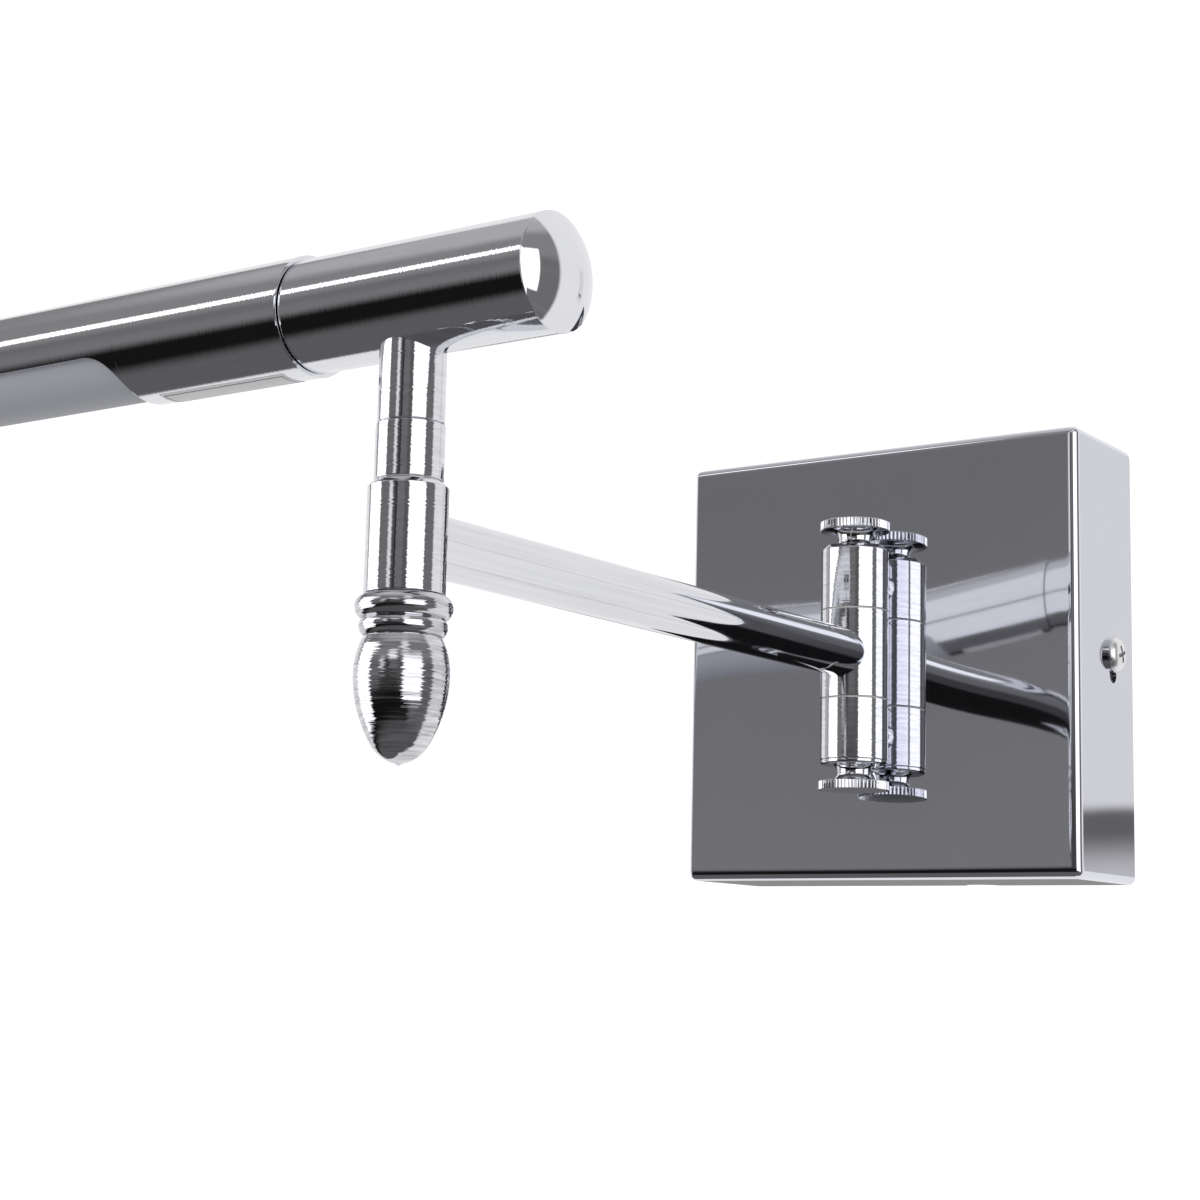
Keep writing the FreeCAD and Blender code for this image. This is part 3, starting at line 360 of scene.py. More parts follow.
def material_for_each_slot():
    return {
        "chrome_sheet": mirror_sheet("chrome_sheet"),
        "chrome_turned": chrome("chrome_turned", "Z", fine=0.001, coarse=0.003, chatter=0.06,
                                dull=0.8, along=10.0),
        "chrome_finial": chrome("chrome_finial", "Z", fine=0.016, coarse=0.05, chatter=0.13,
                                dull=0.42, along=14.0),
        "chrome_tube": chrome("chrome_tube", "X", fine=0.0006, coarse=0.001, chatter=0.035,
                              dull=0.93, across=8.0, along=0.6),
        # the arm's two lines are painted reflections: dark lines along its length
        "chrome_arm": chrome("chrome_arm", "Y", fine=0.0001, coarse=0.0004, chatter=0.004,
                             dull=0.86, across=6.0, along=0.12, painted_reflection_lines=(-0.2, -4.2)),
        "chrome_cap": chrome("chrome_cap", "X", fine=0.0001, coarse=0.0003, chatter=0.004),
        "zinc_steel": bare_metal("zinc_steel", (0.50, 0.51, 0.50), (0.62, 0.63, 0.62),
                                 rough=0.32, grain=1500),
        "steel_screw": bare_metal("steel_screw", (0.80, 0.80, 0.81), (0.88, 0.88, 0.89),
                                  rough=0.3, grain=2500),
        "spring_steel": bare_metal("spring_steel", (0.34, 0.35, 0.38), (0.44, 0.45, 0.48),
                                   rough=0.3, grain=2000),
        "brass": bare_metal("brass", (0.70, 0.52, 0.22), (0.78, 0.61, 0.30),
                            rough=0.24, grain=2200),
        "aluminium": bare_metal("aluminium", (0.72, 0.73, 0.74), (0.80, 0.81, 0.82),
                                rough=0.3, grain=1800),
        "nylon": moulded("nylon", (0.82, 0.81, 0.76), (0.89, 0.88, 0.84), rough=0.45),
        "rubber": moulded("rubber", (0.03, 0.03, 0.033), (0.06, 0.06, 0.065), rough=0.7),
        "driver_case": moulded("driver_case", (0.84, 0.84, 0.83), (0.90, 0.90, 0.89), rough=0.5),
        "terminal_plastic": moulded("terminal_plastic", (0.80, 0.80, 0.76), (0.87, 0.87, 0.83),
                                    rough=0.4),
        "lead_supply": moulded("lead_supply", (0.24, 0.12, 0.07), (0.32, 0.17, 0.10), rough=0.4),
        "lead_earth": moulded("lead_earth", (0.25, 0.46, 0.09), (0.33, 0.56, 0.14), rough=0.4),
        "lead_output": moulded("lead_output", (0.07, 0.07, 0.08), (0.12, 0.12, 0.13), rough=0.4),
        "frosted_acrylic": opal_acrylic("frosted_acrylic"),
        "board": moulded("board", (0.86, 0.86, 0.85), (0.93, 0.93, 0.92), rough=0.25, grain=900),
        "led": moulded("led", (0.88, 0.76, 0.28), (0.94, 0.85, 0.38), rough=0.3, grain=900),
        "sticker": blank_label("sticker"),
    }


def paint(piece, material):
    piece.data.materials.clear()
    piece.data.materials.append(material)


materials = material_for_each_slot()

# these finishes are variants of a slot's material; the others have their slot's name
slot_of = {"chrome_finial": "chrome_turned", "chrome_arm": "chrome_tube"}


# ---------------------------------------------------------------- meshes

def add_object(name, data):
    made = bpy.data.objects.new(name, data)
    bpy.context.scene.collection.objects.link(made)
    return made


def mesh_object(name, build):
    """Turn a mesh in millimetres into an object in metres."""
    bmesh.ops.recalc_face_normals(build, faces=build.faces)
    bmesh.ops.scale(build, vec=(MM, MM, MM), verts=build.verts)
    mesh = bpy.data.meshes.new(name)
    build.to_mesh(mesh)
    build.free()
    return add_object(name, mesh)


def smooth(piece, sharp=CREASE):
    """Shade smoothly between edges sharper than this, and keep flat faces looking flat."""
    piece.data.shade_smooth()
    piece.data.set_sharp_from_angle(angle=math.radians(sharp))
    normals = piece.modifiers.new("flat_faces", "WEIGHTED_NORMAL")
    normals.keep_sharp = True
    normals.weight = 90


def finish_piece(name, build, body, finish, *nodes, sharp=CREASE):
    """Make a smooth shaded piece from a mesh in millimetres, and tie it to the frame."""
    bmesh.ops.remove_doubles(build, verts=build.verts, dist=WELD)
    piece = mesh_object(name, build)
    smooth(piece, sharp)
    paint(piece, materials[finish])
    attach(piece, body)
    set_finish(piece, slot_of.get(finish, finish))
    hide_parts(*nodes)
    return piece


def frame_of(axis, origin):
    """A function from (radius, along, angle) to a point, for an axis named x, y or z."""
    def point(radius, along, angle):
        side, other = radius * math.cos(angle), radius * math.sin(angle)
        offset = {"x": (along, side, other), "y": (other, along, side), "z": (side, other, along)}
        return origin + Vector(offset[axis])
    return point


def mirrored(corners, side):
    """An outline's corners, turned end for end if side is -1."""
    flipped = []
    for radius, along, *rest in corners:
        fillet = rest[:1]
        curve = [bulge * side for bulge in rest[1:]]
        flipped.append((radius, along * side, *fillet, *curve))
    return flipped


def spin(build, points, point_at, steps, adjust):
    """Spin an outline of (radius, along) points. adjust may move a point of a ring."""
    rings = []
    for radius, along in points:
        if radius < 1e-6:
            rings.append([build.verts.new(point_at(0, along, 0))] * steps)
            continue
        ring = []
        for step in range(steps):
            angle = 2 * math.pi * step / steps
            ring.append(build.verts.new(point_at(*adjust(radius, along, angle), angle)))
        rings.append(ring)
    for index, ring in enumerate(rings):
        after = rings[(index + 1) % len(rings)]
        for step in range(steps):
            beside = (step + 1) % steps
            loop = list(dict.fromkeys((ring[step], ring[beside], after[beside], after[step])))
            if len(loop) > 2:
                build.faces.new(loop)


def as_is(radius, along, angle):
    return radius, along


def turned(name, corners, axis, origin, body, finish, *nodes, adjust=as_is, steps=AROUND,
           sharp=CREASE):
    """A lathe-turned piece round an axis; corners are (radius, along, ...)."""
    build = bmesh.new()
    spin(build, outline(corners), frame_of(axis, origin), steps, adjust)
    finish_piece(name, build, body, finish, *nodes, sharp=sharp)


# ---------------------------------------------------------------- wall plate

SHEET = 0.95                # the cover's gauge
BEND = 1.8                  # radius outside its folds
NIPPLE_HEIGHT = 19          # of the barrel's fixings, above and below the middle


def roll(gap, reach, radius):
    """How far a face has rolled away at this gap from its edge; it starts to roll at the reach."""
    return max(reach - gap, 0) ** 2 / (2 * radius)


def beyond(place, start):
    """0 up to a share of the way from the middle to an edge, and 1 at the edge."""
    return max(abs(place) / (cover.size.x / 2) - start, 0) / (1 - start)


def sheet_crown(x, z):
    """How far the pressed front falls back near its bends, most of all below."""
    half = cover.size.x / 2
    swell = 0.30 * beyond(x, 0.62) ** 3 + 0.08 * beyond(z, 0.72) ** 2.4
    return swell + roll(half + z, 3.2, 7) + roll(half - x, 2.8, 14) + roll(half - z, 2.6, 18)


def sheet_stops(flat):
    """Places across the cover from one side to the other, closer together near the bends."""
    gaps = [0, 0.2, 0.4, 0.6, 0.9, 1.3, 1.8, 2.5, 3.5, 5, 7, 9.5, 12.5, 16, 20, 25, 30, 36, 43]
    edge = [flat - gap for gap in gaps]
    return [-stop for stop in edge] + [0] + edge[::-1]


def rounded_square(build, corner, y, stops, corner_steps):
    """One ring of the cover, clockwise from its upper left."""
    flat = stops[-1]
    ring = []
    for quarter in range(4):
        angle = quarter * math.pi / 2
        along = Vector((math.cos(angle), -math.sin(angle)))
        out = Vector((math.sin(angle), math.cos(angle)))
        for stop in stops:
            place = along * stop + out * (flat + corner)
            ring.append((place.x, y, place.y))
        middle = (along + out) * flat
        for step in range(1, corner_steps):
            turn = math.pi / 2 * step / corner_steps
            place = middle + (out * math.cos(turn) + along * math.sin(turn)) * corner
            ring.append((place.x, y, place.y))
    return [build.verts.new(place) for place in ring]


def cover_skin():
    """The outside of the folded sheet box: front, bends and sides."""
    build = bmesh.new()
    stops = sheet_stops(cover.size.x / 2 - BEND)
    front, back = cover.low.y, cover.high.y
    levels = [(BEND, y) for y in (back, back - 4, front / 2, front + BEND + 1)]
    bend_steps = 12
    for step in range(bend_steps + 1):
        turn = math.pi / 2 * step / bend_steps
        levels.append((BEND * math.cos(turn), front + BEND - BEND * math.sin(turn)))
    rings = [rounded_square(build, corner, y, stops, 8) for corner, y in levels]
    for ring, after in zip(rings, rings[1:]):
        for index, vert in enumerate(ring):
            beside = (index + 1) % len(ring)
            build.faces.new((vert, ring[beside], after[beside], after[index]))
    grid = [[build.verts.new((x, front, z)) for x in stops] for z in stops[::-1]]
    for row, below in zip(grid, grid[1:]):
        for column in range(len(stops) - 1):
            build.faces.new((row[column], row[column + 1], below[column + 1], below[column]))
    bmesh.ops.remove_doubles(build, verts=build.verts, dist=WELD)
    for vert in build.verts:
        share = max(min((front / 2 - vert.co.y) / (front / 2 - front), 1), 0)
        vert.co.y += sheet_crown(vert.co.x, vert.co.z) * share
    return build


def prism(build, points, axis, low, high):
    """A solid block with an outline across one axis, from low to high."""
    turn = {"x": (2, 0, 1), "y": (0, 2, 1), "z": (0, 1, 2)}[axis]
    ends = []
    for level in (low, high):
        ends.append([build.verts.new([(*point, level)[index] for index in turn]) for point in points])
    build.faces.new(ends[0])
    build.faces.new(ends[1][::-1])
    for index, vert in enumerate(ends[0]):
        beside = (index + 1) % len(points)
        build.faces.new((vert, ends[0][beside], ends[1][beside], ends[1][index]))


def circle(centre, radius, steps=48):
    turns = [2 * math.pi * step / steps for step in range(steps)]
    u, v = centre
    return [(u + radius * math.cos(turn), v + radius * math.sin(turn)) for turn in turns]


def cutters():
    """Everything that is cut out of the cover: nipple holes, side slots, cable notch, and the
    upper back edge, which is rounded off."""
    build = bmesh.new()
    half = cover.size.x / 2
    spare = 1
    low_wall, high_wall = (-half - spare, 2 - half), (half - 2, half + spare)
    for height in (NIPPLE_HEIGHT, -NIPPLE_HEIGHT):
        prism(build, circle((0, height), 3.7), "y", cover.low.y - spare, cover.low.y + 2)
    slot_y, top, bottom, reach = -12.5, 3.5, -4.0, 2.1
    turns = [math.pi * step / 16 for step in range(17)]
    slot = [(slot_y + reach * math.cos(turn), top + reach * math.sin(turn)) for turn in turns]
    slot += [(slot_y - reach * math.cos(turn), bottom - reach * math.sin(turn)) for turn in turns]
    prism(build, slot, "x", *low_wall)
    prism(build, slot, "x", *high_wall)
    notch_x, notch_radius = 14, 4.5
    prism(build, circle((notch_x, 0), notch_radius), "z", *low_wall)
    round_off = 3
    quarter = [(round_off * (math.sin(turn / 2) - 1), half + round_off * (math.cos(turn / 2) - 1))
               for turn in turns]
    edge = [(-round_off, half + spare), *quarter, (spare, half - round_off), (spare, half + spare)]
    prism(build, edge, "x", -half - spare, half + spare)
    return mesh_object("cover_cutters", build)


def wall_cover():
    """The skin given its gauge, with everything cut out of it."""
    piece = finish_piece("wall_cover_sheet", cover_skin(), "wall", "chrome_sheet", "wall_cover")
    piece.modifiers.clear()
    solid = piece.modifiers.new("gauge", "SOLIDIFY")
    solid.thickness = SHEET * MM
    solid.offset = -1
    tool = cutters()
    holes = piece.modifiers.new("holes", "BOOLEAN")
    holes.solver = "EXACT"
    holes.use_self = True
    holes.object = tool
    bpy.context.view_layer.update()
    shaped = piece.evaluated_get(bpy.context.evaluated_depsgraph_get())
    mesh = bpy.data.meshes.new_from_object(shaped)
    piece.modifiers.clear()
    piece.data = mesh
    bpy.data.objects.remove(tool)
    smooth(piece)


# ---------------------------------------------------------------- knuckle barrel

PIN_HOLE = 2.1              # radius of the hinge pin's clearance hole
GROOVES = 54                # in a thumb nut's rim
RIM = thumb_nut.size.x / 2


def end_knuckle(name, box, chamfer, side):
    """Hollow end knuckle with its journal; side is 1 above and -1 below."""
    end = box.high.z if side > 0 else -box.low.z
    start = middle_knuckle.high.z + 0.3
    radius, bore = barrel_radius, 6.6
    journal, journal_bore, journal_tip = 6, 5, 6.2
    roof, shoulder = end - 3, start + 1.8
    corners = [(journal_bore, journal_tip), (journal, journal_tip), (journal, start),
               (radius, start, 0.15), (radius, end - chamfer, 0.2), (radius - chamfer, end, 0.15),
               (PIN_HOLE, end), (PIN_HOLE, roof), (bore, roof), (bore, shoulder),
               (journal_bore, shoulder)]
    turned(f"{name}_turning", mirrored(corners, side), "z", barrel_axis, "wall", "chrome_turned", name)


def barrel_middle_and_ring():
    half = middle_knuckle.high.z
    bore = 7
    turned("middle_knuckle_turning",
           [(bore, -half), (barrel_radius, -half, 0.15), (barrel_radius, half, 0.15), (bore, half)],
           "z", barrel_axis, "arm", "chrome_turned", "middle_knuckle")
    radius = lock_ring.size.x / 2
    turned("lock_ring_turning",
           [(PIN_HOLE, lock_ring.low.z), (radius, lock_ring.low.z, 0.6),
            (radius, lock_ring.high.z, 0.12), (PIN_HOLE, lock_ring.high.z)],
           "z", barrel_axis, "wall", "chrome_turned", "lower_knuckle_ring")


def knurled(radius, along, angle):
    """Cut the thumb nut's rim into V-shaped grooves."""
    if radius < RIM - 0.5:
        return radius, along
    phase = (angle * GROOVES / (2 * math.pi)) % 1
    groove = max(0, 1 - abs(2 * phase - 1) / 0.88)
    depth = 0.35
    return radius - depth * groove, along


def nut(name, body, side):
    """Knurled disc on a coved neck."""
    foot, outer = thumb_nut.low.z, thumb_nut.high.z
    inner = outer - 2.3
    bore, neck = 2.05, 5
    corners = [(bore, foot), (neck, foot), (neck + 0.6, inner, 0, -2.5), (RIM, inner, 0.22),
               (RIM, outer, 0.25), (0, outer), (0, outer - 1), (bore, outer - 1)]
    turned(f"{name}_turning", mirrored(corners, side), "z", barrel_axis, body, "chrome_turned", name,
           adjust=knurled, steps=GROOVES * 8)


# ---------------------------------------------------------------- arm, post and head

def arm_ends(radius, along, angle):
    """Cope the arm's ends to the barrel and to the sleeve."""
    across = radius * math.sin(angle)
    if along > arm.middle.y:
        return radius, barrel_axis.y - math.sqrt(barrel_radius ** 2 - across ** 2)
    return radius, post_axis.y + math.sqrt(sleeve_radius ** 2 - across ** 2)


def stub_end(radius, along, angle):
    """Cope the upper post to the head tube."""
    if along < stub.middle.z:
        return radius, along
    across = radius * math.sin(angle)
    return radius, head_axis.z - math.sqrt(head_radius ** 2 - across ** 2)


def dome_radius(half_width, rise):
    return (half_width ** 2 + rise ** 2) / (rise * 2)


def domed(name, box, radius, bore, side, body, node):
    """Pressed cap with a skirt in the tube's bore; side is 1 towards +X."""
    tip = box.high.x if side > 0 else -box.low.x
    rise, gauge, skirt = 4.1, 1.3, 6
    start = tip - rise
    inside = bore - gauge
    corners = [(inside, start - skirt), (bore, start - skirt, 0.3), (bore, start),
               (radius, start, 0.12), (radius, start + 0.2, 0.05),
               (0, tip, 0, dome_radius(radius, rise)), (0, tip - gauge),
               (inside, start - 0.4, 0, -dome_radius(inside, rise - 0.9))]
    turned(f"{name}_pressing", mirrored(corners, side), "x", head_axis, body, "chrome_cap", node,
           sharp=50)


def arm_and_post():
    """The arm, the sleeve on its end, everything on the post's axis, and the head it carries."""
    radius, bore = 6.1, 5.1
    turned("arm_tubing",
           [(bore, arm.low.y), (bore, arm.high.y), (radius, arm.high.y), (radius, arm.low.y)],
           "y", Vector((0, 0, 0)), "arm", "chrome_arm", "arm_tube", adjust=arm_ends)
    half, bore, chamfer = sleeve.high.z, 5.5, 1.1
    turned("sleeve_turning",
           [(bore, -half), (sleeve_radius, -half, 0.25), (sleeve_radius, half - chamfer, 0.25),
            (sleeve_radius - chamfer, half, 0.2), (bore, half)],
           "z", post_axis, "arm", "chrome_turned", "post_sleeve")
    turned("collar_turning",
           [(spindle_radius, collar.low.z), (collar_radius - 0.2, collar.low.z),
            (collar_radius, collar.low.z + 0.2, 0.1), (collar_radius, collar.high.z - 0.25, 0.1),
            (collar_radius - 0.45, collar.high.z), (spindle_radius, collar.high.z)],
           "z", post_axis, "head", "chrome_turned", "post_collar")
    radius = stub.size.x / 2
    turned("stub_turning",
           [(spindle_radius, stub.low.z), (radius - 0.3, stub.low.z), (radius, stub.low.z + 0.2, 0.1),
            (radius, stub.high.z), (spindle_radius, stub.high.z)],
           "z", post_axis, "head", "chrome_turned", "post_stub", adjust=stub_end)
    bead = bead_ring.size.x / 2
    top, waist, seat, relief = bead_ring.high.z, -15.45, 6.2, 0.35
    turned("bead_turning",
           [(spindle_radius, bead_ring.low.z), (bead - 1.75, bead_ring.low.z),
            (bead - 1.35, waist, 0, 2.3), (bead - 1.3, top, 0, 2.45), (seat, top),
            (seat, top - relief), (spindle_radius, top - relief)],
           "z", post_axis, "head", "chrome_finial", "finial_ring")
    top, widest, tip = acorn.high.z, -25.8, acorn.low.z
    turned("acorn_turning",
           [(0, spindle.low.z), (spindle_radius, spindle.low.z), (spindle_radius, top), (7.4, top),
            (acorn.size.x / 2, widest, 0, -15.3), (5.4, -39.1, 0, -25.5), (0.8, tip + 0.5, 0, -7.2),
            (0, tip)],
           "z", post_axis, "head", "chrome_finial", "finial", sharp=50)
    turned("head_tubing",
           [(head_bore, head.low.x), (head_radius, head.low.x, 0.15), (head_radius, head.high.x, 0.1),
            (head_bore, head.high.x)],
           "x", head_axis, "head", "chrome_tube", "head_tube")
    domed("head_cap", head_cap, head_radius, head_bore, 1, "head", "head_cap")


# ---------------------------------------------------------------- lamp

NEAR, FAR = -70, shell.low.x + 22       # the window's ends along X
WINDOW_CORNER = 9
WINDOW_TOP = -4                         # its straight edges, from the lamp's axis


def shell_columns():
    """Places along the lamp, closer together at the window's rounded corners."""
    start, end = shell.high.x, shell.low.x
    columns = [start, start - 0.15, start - 6, -40, -55, NEAR + 0.4]
    turns = [math.pi / 2 * step / 18 for step in range(19)]
    columns += [NEAR - WINDOW_CORNER * (1 - math.cos(turn)) for turn in turns]
    columns += [NEAR - WINDOW_CORNER - 20 * step for step in range(1, 11)]
    columns += [FAR + WINDOW_CORNER * (1 - math.sin(turn)) for turn in turns]
    columns += [FAR - 0.4, end + 8, end]
    return sorted(set(round(column, 4) for column in columns), reverse=True)


def window_edge(x):
    """Height of the window's edge from the lamp's axis, or None where the tube is whole."""
    into = min(NEAR - x, x - FAR)
    if into < 0:
        return None
    if into > WINDOW_CORNER:
        return WINDOW_TOP
    drop = math.sqrt(WINDOW_CORNER ** 2 - (WINDOW_CORNER - into) ** 2)
    return WINDOW_TOP - WINDOW_CORNER + drop


def lamp_shell():
    """Chromed tube with the long window in its underside."""
    build = bmesh.new()
    steps = 144
    skins = []
    for radius in (lamp_radius, lamp_bore):
        skin = []
        for x in shell_columns():
            edge = window_edge(x)
            opening = 0 if edge is None or edge < -radius else math.acos(-edge / radius)
            column = []
            for step in range(steps + 1):
                angle = opening + (2 * math.pi - 2 * opening) * step / steps
                place = (x, -radius * math.sin(angle), -radius * math.cos(angle))
                column.append(build.verts.new(head_axis + Vector(place)))
            skin.append((opening, column))
        skins.append(skin)
    for skin in skins:
        for (_, column), (_, beside) in zip(skin, skin[1:]):
            for step in range(steps):
                build.faces.new((column[step], column[step + 1], beside[step + 1], beside[step]))
    outer, inner = skins
    for index in (0, -1):
        for step in range(steps):
            build.faces.new((outer[index][1][step], outer[index][1][step + 1],
                             inner[index][1][step + 1], inner[index][1][step]))
    for index in range(len(outer) - 1):
        if max(outer[index][0], outer[index + 1][0]) == 0:
            continue
        for step in (0, -1):
            loop = (outer[index][1][step], outer[index + 1][1][step],
                    inner[index + 1][1][step], inner[index][1][step])
            build.faces.new(loop)
    finish_piece("lamp_tubing", build, "lamp", "chrome_tube", "lamp_shell")


def lamp_sticker():
    """Thin blank sticker bent round the underside."""
    build = bmesh.new()
    outside, inside = lamp_radius + 0.08, lamp_radius + 0.005
    half_turn = math.asin(label.size.y / 2 / outside)
    steps = 24
    points = []
    for radius, direction in ((outside, 1), (inside, -1)):
        for step in range(steps + 1):
            angle = direction * half_turn * (2 * step / steps - 1)
            points.append((radius * math.sin(angle), -radius * math.cos(angle)))
    ends = []
    for x in (label.low.x, label.high.x):
        ends.append([build.verts.new(head_axis + Vector((x, *point))) for point in points])
    for index, vert in enumerate(ends[0]):
        beside = (index + 1) % len(points)
        build.faces.new((vert, ends[0][beside], ends[1][beside], ends[1][index]))
    last = len(points) - 1
    for end in ends:
        for step in range(steps):
            build.faces.new((end[step], end[step + 1], end[last - 1 - step], end[last - step]))
    finish_piece("blank_sticker", build, "lamp", "sticker", "lamp_label")


def lamp():
    lamp_shell()
    domed("lamp_cap", lamp_cap, lamp_radius, lamp_bore, -1, "lamp", "lamp_end_cap")
    radius = opal.size.z / 2
    bore = radius - 1.5
    turned("opal_tubing",
           [(bore, opal.low.x), (radius, opal.low.x, 0.3), (radius, opal.high.x, 0.3),
            (bore, opal.high.x)],
           "x", head_axis, "lamp", "frosted_acrylic", "diffuser")
    lamp_sticker()


# ---------------------------------------------------------------- studio

BACKDROP = 1.12             # the even white behind and round everything
FROM_BELOW = 0.42           # the light on matt surfaces from well below the horizon
REFLECTANCE = 0.8           # of the plating


def shade(tone):
    """The light that the plating shows as this tone, from 0 to 255."""
    return ((tone / 255 + 0.055) / 1.055) ** 2.4 / REFLECTANCE


class Room(Nodes):
    """A plain studio seen in polished metal: grey room, white backdrop and soft boxes.

    Bearings are in degrees, from the room side of the wall towards +X; rises are in degrees
    above the horizon. soft is half the width of an edge's blur, in degrees."""

    def __init__(self, world):
        super().__init__(world.node_tree)
        way = self.node("ShaderNodeSeparateXYZ",
                        Vector=self.node("ShaderNodeTexCoord").outputs["Generated"])
        away = self.maths("MULTIPLY", way.outputs["Y"], -1.0)
        self.bearing = self.maths("DEGREES", self.maths("ARCTAN2", way.outputs["X"], away))
        self.rise = self.maths("DEGREES", self.maths("ARCSINE", way.outputs["Z"]))
        self.light = shade(112)

    def step(self, value, at, soft):
        """0 below a value and 1 above it."""
        made = self.node("ShaderNodeMapRange", Value=value, From_Min=at - soft, From_Max=at + soft)
        made.interpolation_type = "SMOOTHSTEP"
        return made.outputs["Result"]

    def within(self, value, low, high, soft):
        above = self.step(value, high, soft)
        return self.maths("SUBTRACT", self.step(value, low, soft), above)

    def pick(self, mask, first, second):
        """The first value where the mask is 0 and the second where it is 1."""
        made = self.tree.nodes.new("ShaderNodeMix")
        for socket, value in zip((made.inputs[0], made.inputs[2], made.inputs[3]),
                                 (mask, first, second)):
            self.feed(socket, value)
        return made.outputs[0]

    def lay(self, mask, tone):
        """Lay a tone over what is there."""
        self.light = self.pick(mask, self.light, shade(tone))

    def patch(self, bearings, rises, tone, soft=2.0):
        mask = self.maths("MULTIPLY", self.within(self.bearing, *bearings, soft),
                          self.within(self.rise, *rises, soft))
        self.lay(mask, tone)


def room_walls(room):
    """Bands of grey that grow paler upwards, and below the horizon a dark band over a paler
    floor."""
    room.lay(room.within(room.rise, 9, 20, 6), 104)
    room.lay(room.step(room.rise, 20, 4), 126)
    room.lay(room.step(room.rise, 46, 5), 165)
    room.lay(room.step(room.rise, 60, 6), 185)
    room.patch((-110, 62), (-50, -6), tone=20, soft=7)
    fall = room.maths("MULTIPLY", room.rise, -1.0)
    room.lay(room.step(fall, 36, 7), 88)


def room_front(room):
    """Stripes straight ahead of the wall, dark and pale, and a dim wall on the right."""
    room.patch((-14, 40), (-9, 6.5), tone=62, soft=3)
    room.patch((30, 42), (-9, 25), tone=86, soft=3)
    room.patch((-14, -4), (7, 22), tone=215)
    room.patch((-1, 6), (7, 22), tone=72)
    room.patch((80, 119), (-30, 6), tone=105, soft=4)


def room_behind(room):
    """The pale backdrop behind the wall, with what the cover's underside and right side show."""
    aside = room.maths("ABSOLUTE", room.bearing)
    room.lay(room.step(aside, 119, 3), 222)
    room.patch((-164, -143), (-6, -0.5), tone=128, soft=1)
    room.patch((153, 162), (0, 18), tone=206)
    room.patch((154.6, 160.4), (2, 4.3), tone=92, soft=0.15)
    room.patch((154.6, 160.4), (2, 3.25), tone=180, soft=0.55)


def room_lights(room):
    """Wide soft boxes to the left and right, a thin dark upright ahead, and lights higher up."""
    room.patch((-125, -85), (-25, 27), tone=225)
    room.patch((-85, -70), (-25, 22), tone=170, soft=3)
    room.patch((42.5, 90), (-17, 27), tone=290, soft=1.2)
    room.patch((5, 9), (7, 24), tone=30, soft=0.8)
    strip_slope, strip_rise, strip_reach = 0.18, 38.1, 3.3
    strip = room.maths("MULTIPLY_ADD", room.bearing, strip_slope, strip_rise)
    off = room.maths("ABSOLUTE", room.maths("SUBTRACT", room.rise, strip))
    near_strip = room.maths("SUBTRACT", 1.0, room.step(off, strip_reach, 0.8))
    span = room.within(room.bearing, -80, -30, 2)
    room.lay(room.maths("MULTIPLY", near_strip, span), 300)
    room.patch((5, 26), (23, 31), tone=260, soft=1.5)
    room.patch((36, 56), (32, 50), tone=235, soft=3)


def studio_world():
    """Polished metal sees the room. Matt surfaces are lit by white, dimmer from below, and the
    camera sees an even white."""
    world = bpy.data.worlds.new("studio")
    bpy.context.scene.world = world
    world.use_nodes = True
    world.cycles.sampling_method = "NONE"
    room = Room(world)
    room_walls(room)
    room_front(room)
    room_behind(room)
    room_lights(room)
    ray = room.node("ShaderNodeLightPath")
    over = room.node("ShaderNodeMapRange", Value=room.rise, From_Min=-12.0, From_Max=3.0,
                     To_Min=FROM_BELOW, To_Max=BACKDROP)
    soft = room.pick(ray.outputs["Is Diffuse Ray"], BACKDROP, over.outputs["Result"])
    seen = room.pick(ray.outputs["Is Glossy Ray"], soft, room.light)
    room.feed(room.tree.nodes["Background"].inputs["Color"], seen)


def soft_box(name, centre, towards, width, height, light):
    """A large soft light, given by its middle, the point it faces and its brightness."""
    lamp_data = bpy.data.lights.new(name, "AREA")
    lamp_data.shape = "RECTANGLE"
    lamp_data.size, lamp_data.size_y = width, height
    lamp_data.energy = light * math.pi * width * height
    box = add_object(name, lamp_data)
    box.location = centre
    box.rotation_euler = (Vector(towards) - Vector(centre)).to_track_quat("-Z", "Y").to_euler()
    box.visible_camera = False
    return box


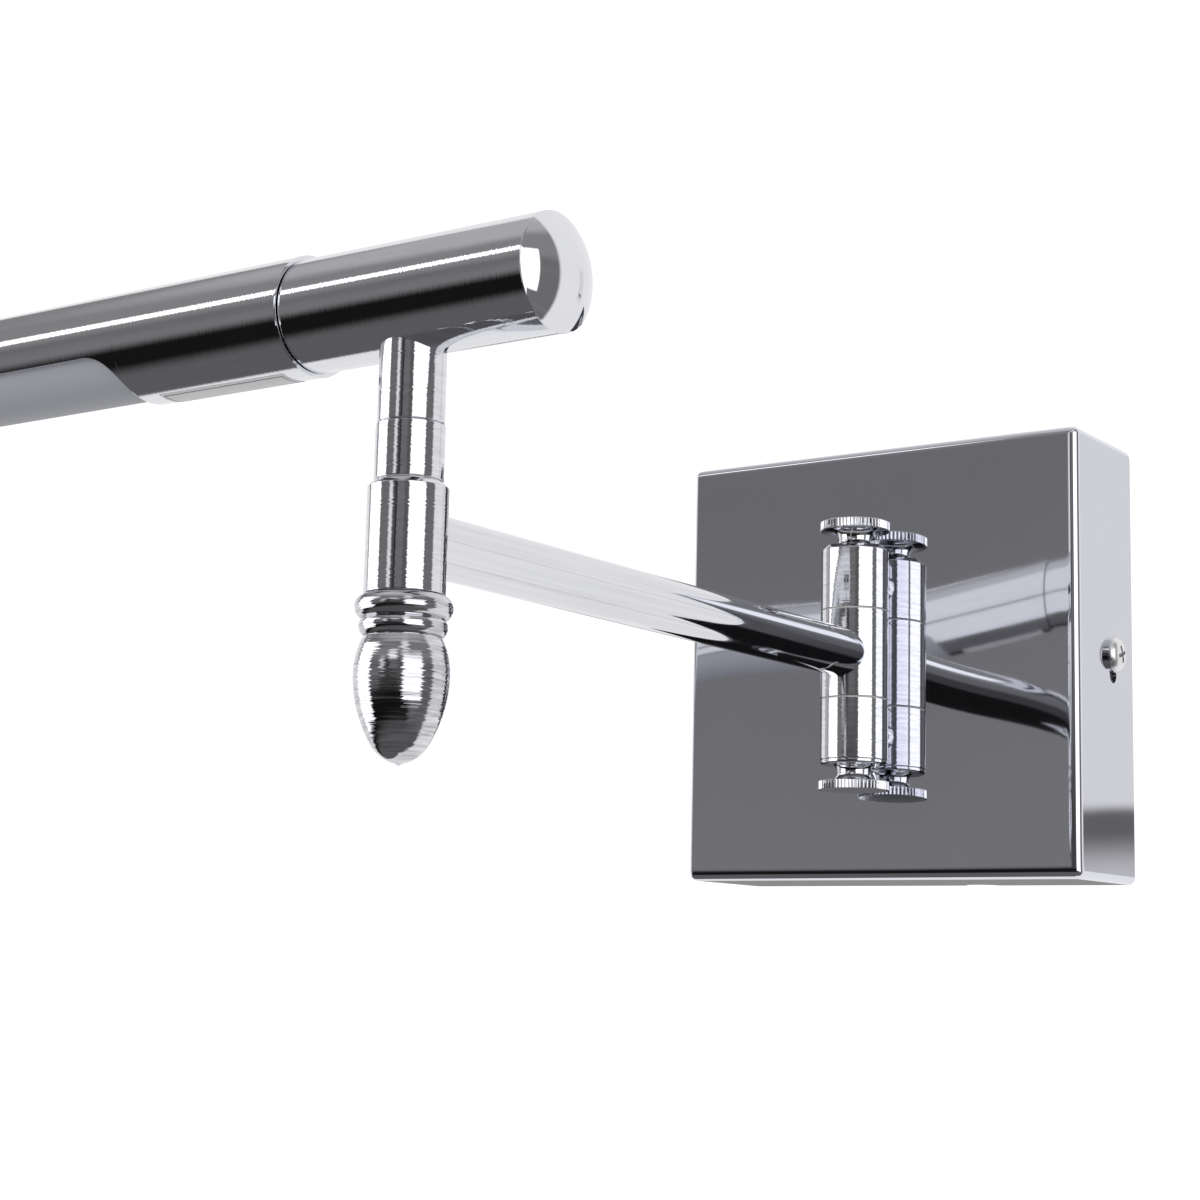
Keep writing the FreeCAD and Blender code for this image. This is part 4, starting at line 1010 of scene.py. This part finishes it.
def turned_parts_only(box):
    """Keep a light to the post and the barrel, whose fine turning spreads it along them."""
    lit = bpy.data.collections.new("turned_parts")
    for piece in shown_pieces():
        if piece.get("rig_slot") == "chrome_turned":
            lit.objects.link(piece)
    box.light_linking.receiver_collection = lit


def floor():
    """Wide pale floor, well below the light, that only the camera sees."""
    build = bmesh.new()
    bmesh.ops.create_circle(build, cap_ends=True, segments=96, radius=6)
    mesh = bpy.data.meshes.new("floor")
    build.to_mesh(mesh)
    build.free()
    ground = add_object("floor", mesh)
    ground.location.z = -0.34
    ground.visible_glossy = False
    ground.visible_diffuse = False
    shader = Shader("pale_floor")
    pale = shader.mix(shader.noise(2, 3), (0.93, 0.93, 0.93), (0.95, 0.95, 0.95))
    paint(ground, shader.finish(Base_Color=pale, Roughness=0.9))


def camera():
    """Below the plate and to the right of it, looking up a little and tilted a little."""
    turn, lift, roll = (math.radians(angle) for angle in (34.91, -9.21, 1.36))
    target, distance = Vector((-0.1086, 0, 0.0285)), 0.6851
    back = Vector((math.sin(turn) * math.cos(lift), -math.cos(turn) * math.cos(lift), math.sin(lift)))
    right = Vector((math.cos(turn), math.sin(turn), 0))
    up = back.cross(right)
    across = right * math.cos(roll) + up * math.sin(roll)
    upward = up * math.cos(roll) - right * math.sin(roll)
    view = add_object("camera", bpy.data.cameras.new("camera"))
    view.data.lens = 70.18
    view.matrix_world = Matrix((across, upward, back)).transposed().to_4x4()
    view.location = target + back * distance
    bpy.context.scene.camera = view


# ---------------------------------------------------------------- the light, painted and placed

wall_cover()
end_knuckle("upper_knuckle", upper_knuckle, chamfer=1.15, side=1)
end_knuckle("lower_knuckle", lower_knuckle, chamfer=0.2, side=-1)
barrel_middle_and_ring()
nut("upper_thumb_nut", "upper_nut", side=1)
nut("lower_thumb_nut", "lower_nut", side=-1)
arm_and_post()
lamp()
for subpart in frame["record"]["subparts"]:
    paint(frame["nodes"][subpart["node"]], materials[subpart["material_slot"]])

studio_world()
side_box = soft_box("side_box", centre=(-0.383, -0.400, 0.01), towards=(0, -0.076, 0.01),
                    width=0.338, height=0.46, light=1.7)
turned_parts_only(side_box)
floor()
camera()
bpy.context.scene.view_settings.view_transform = "Standard"
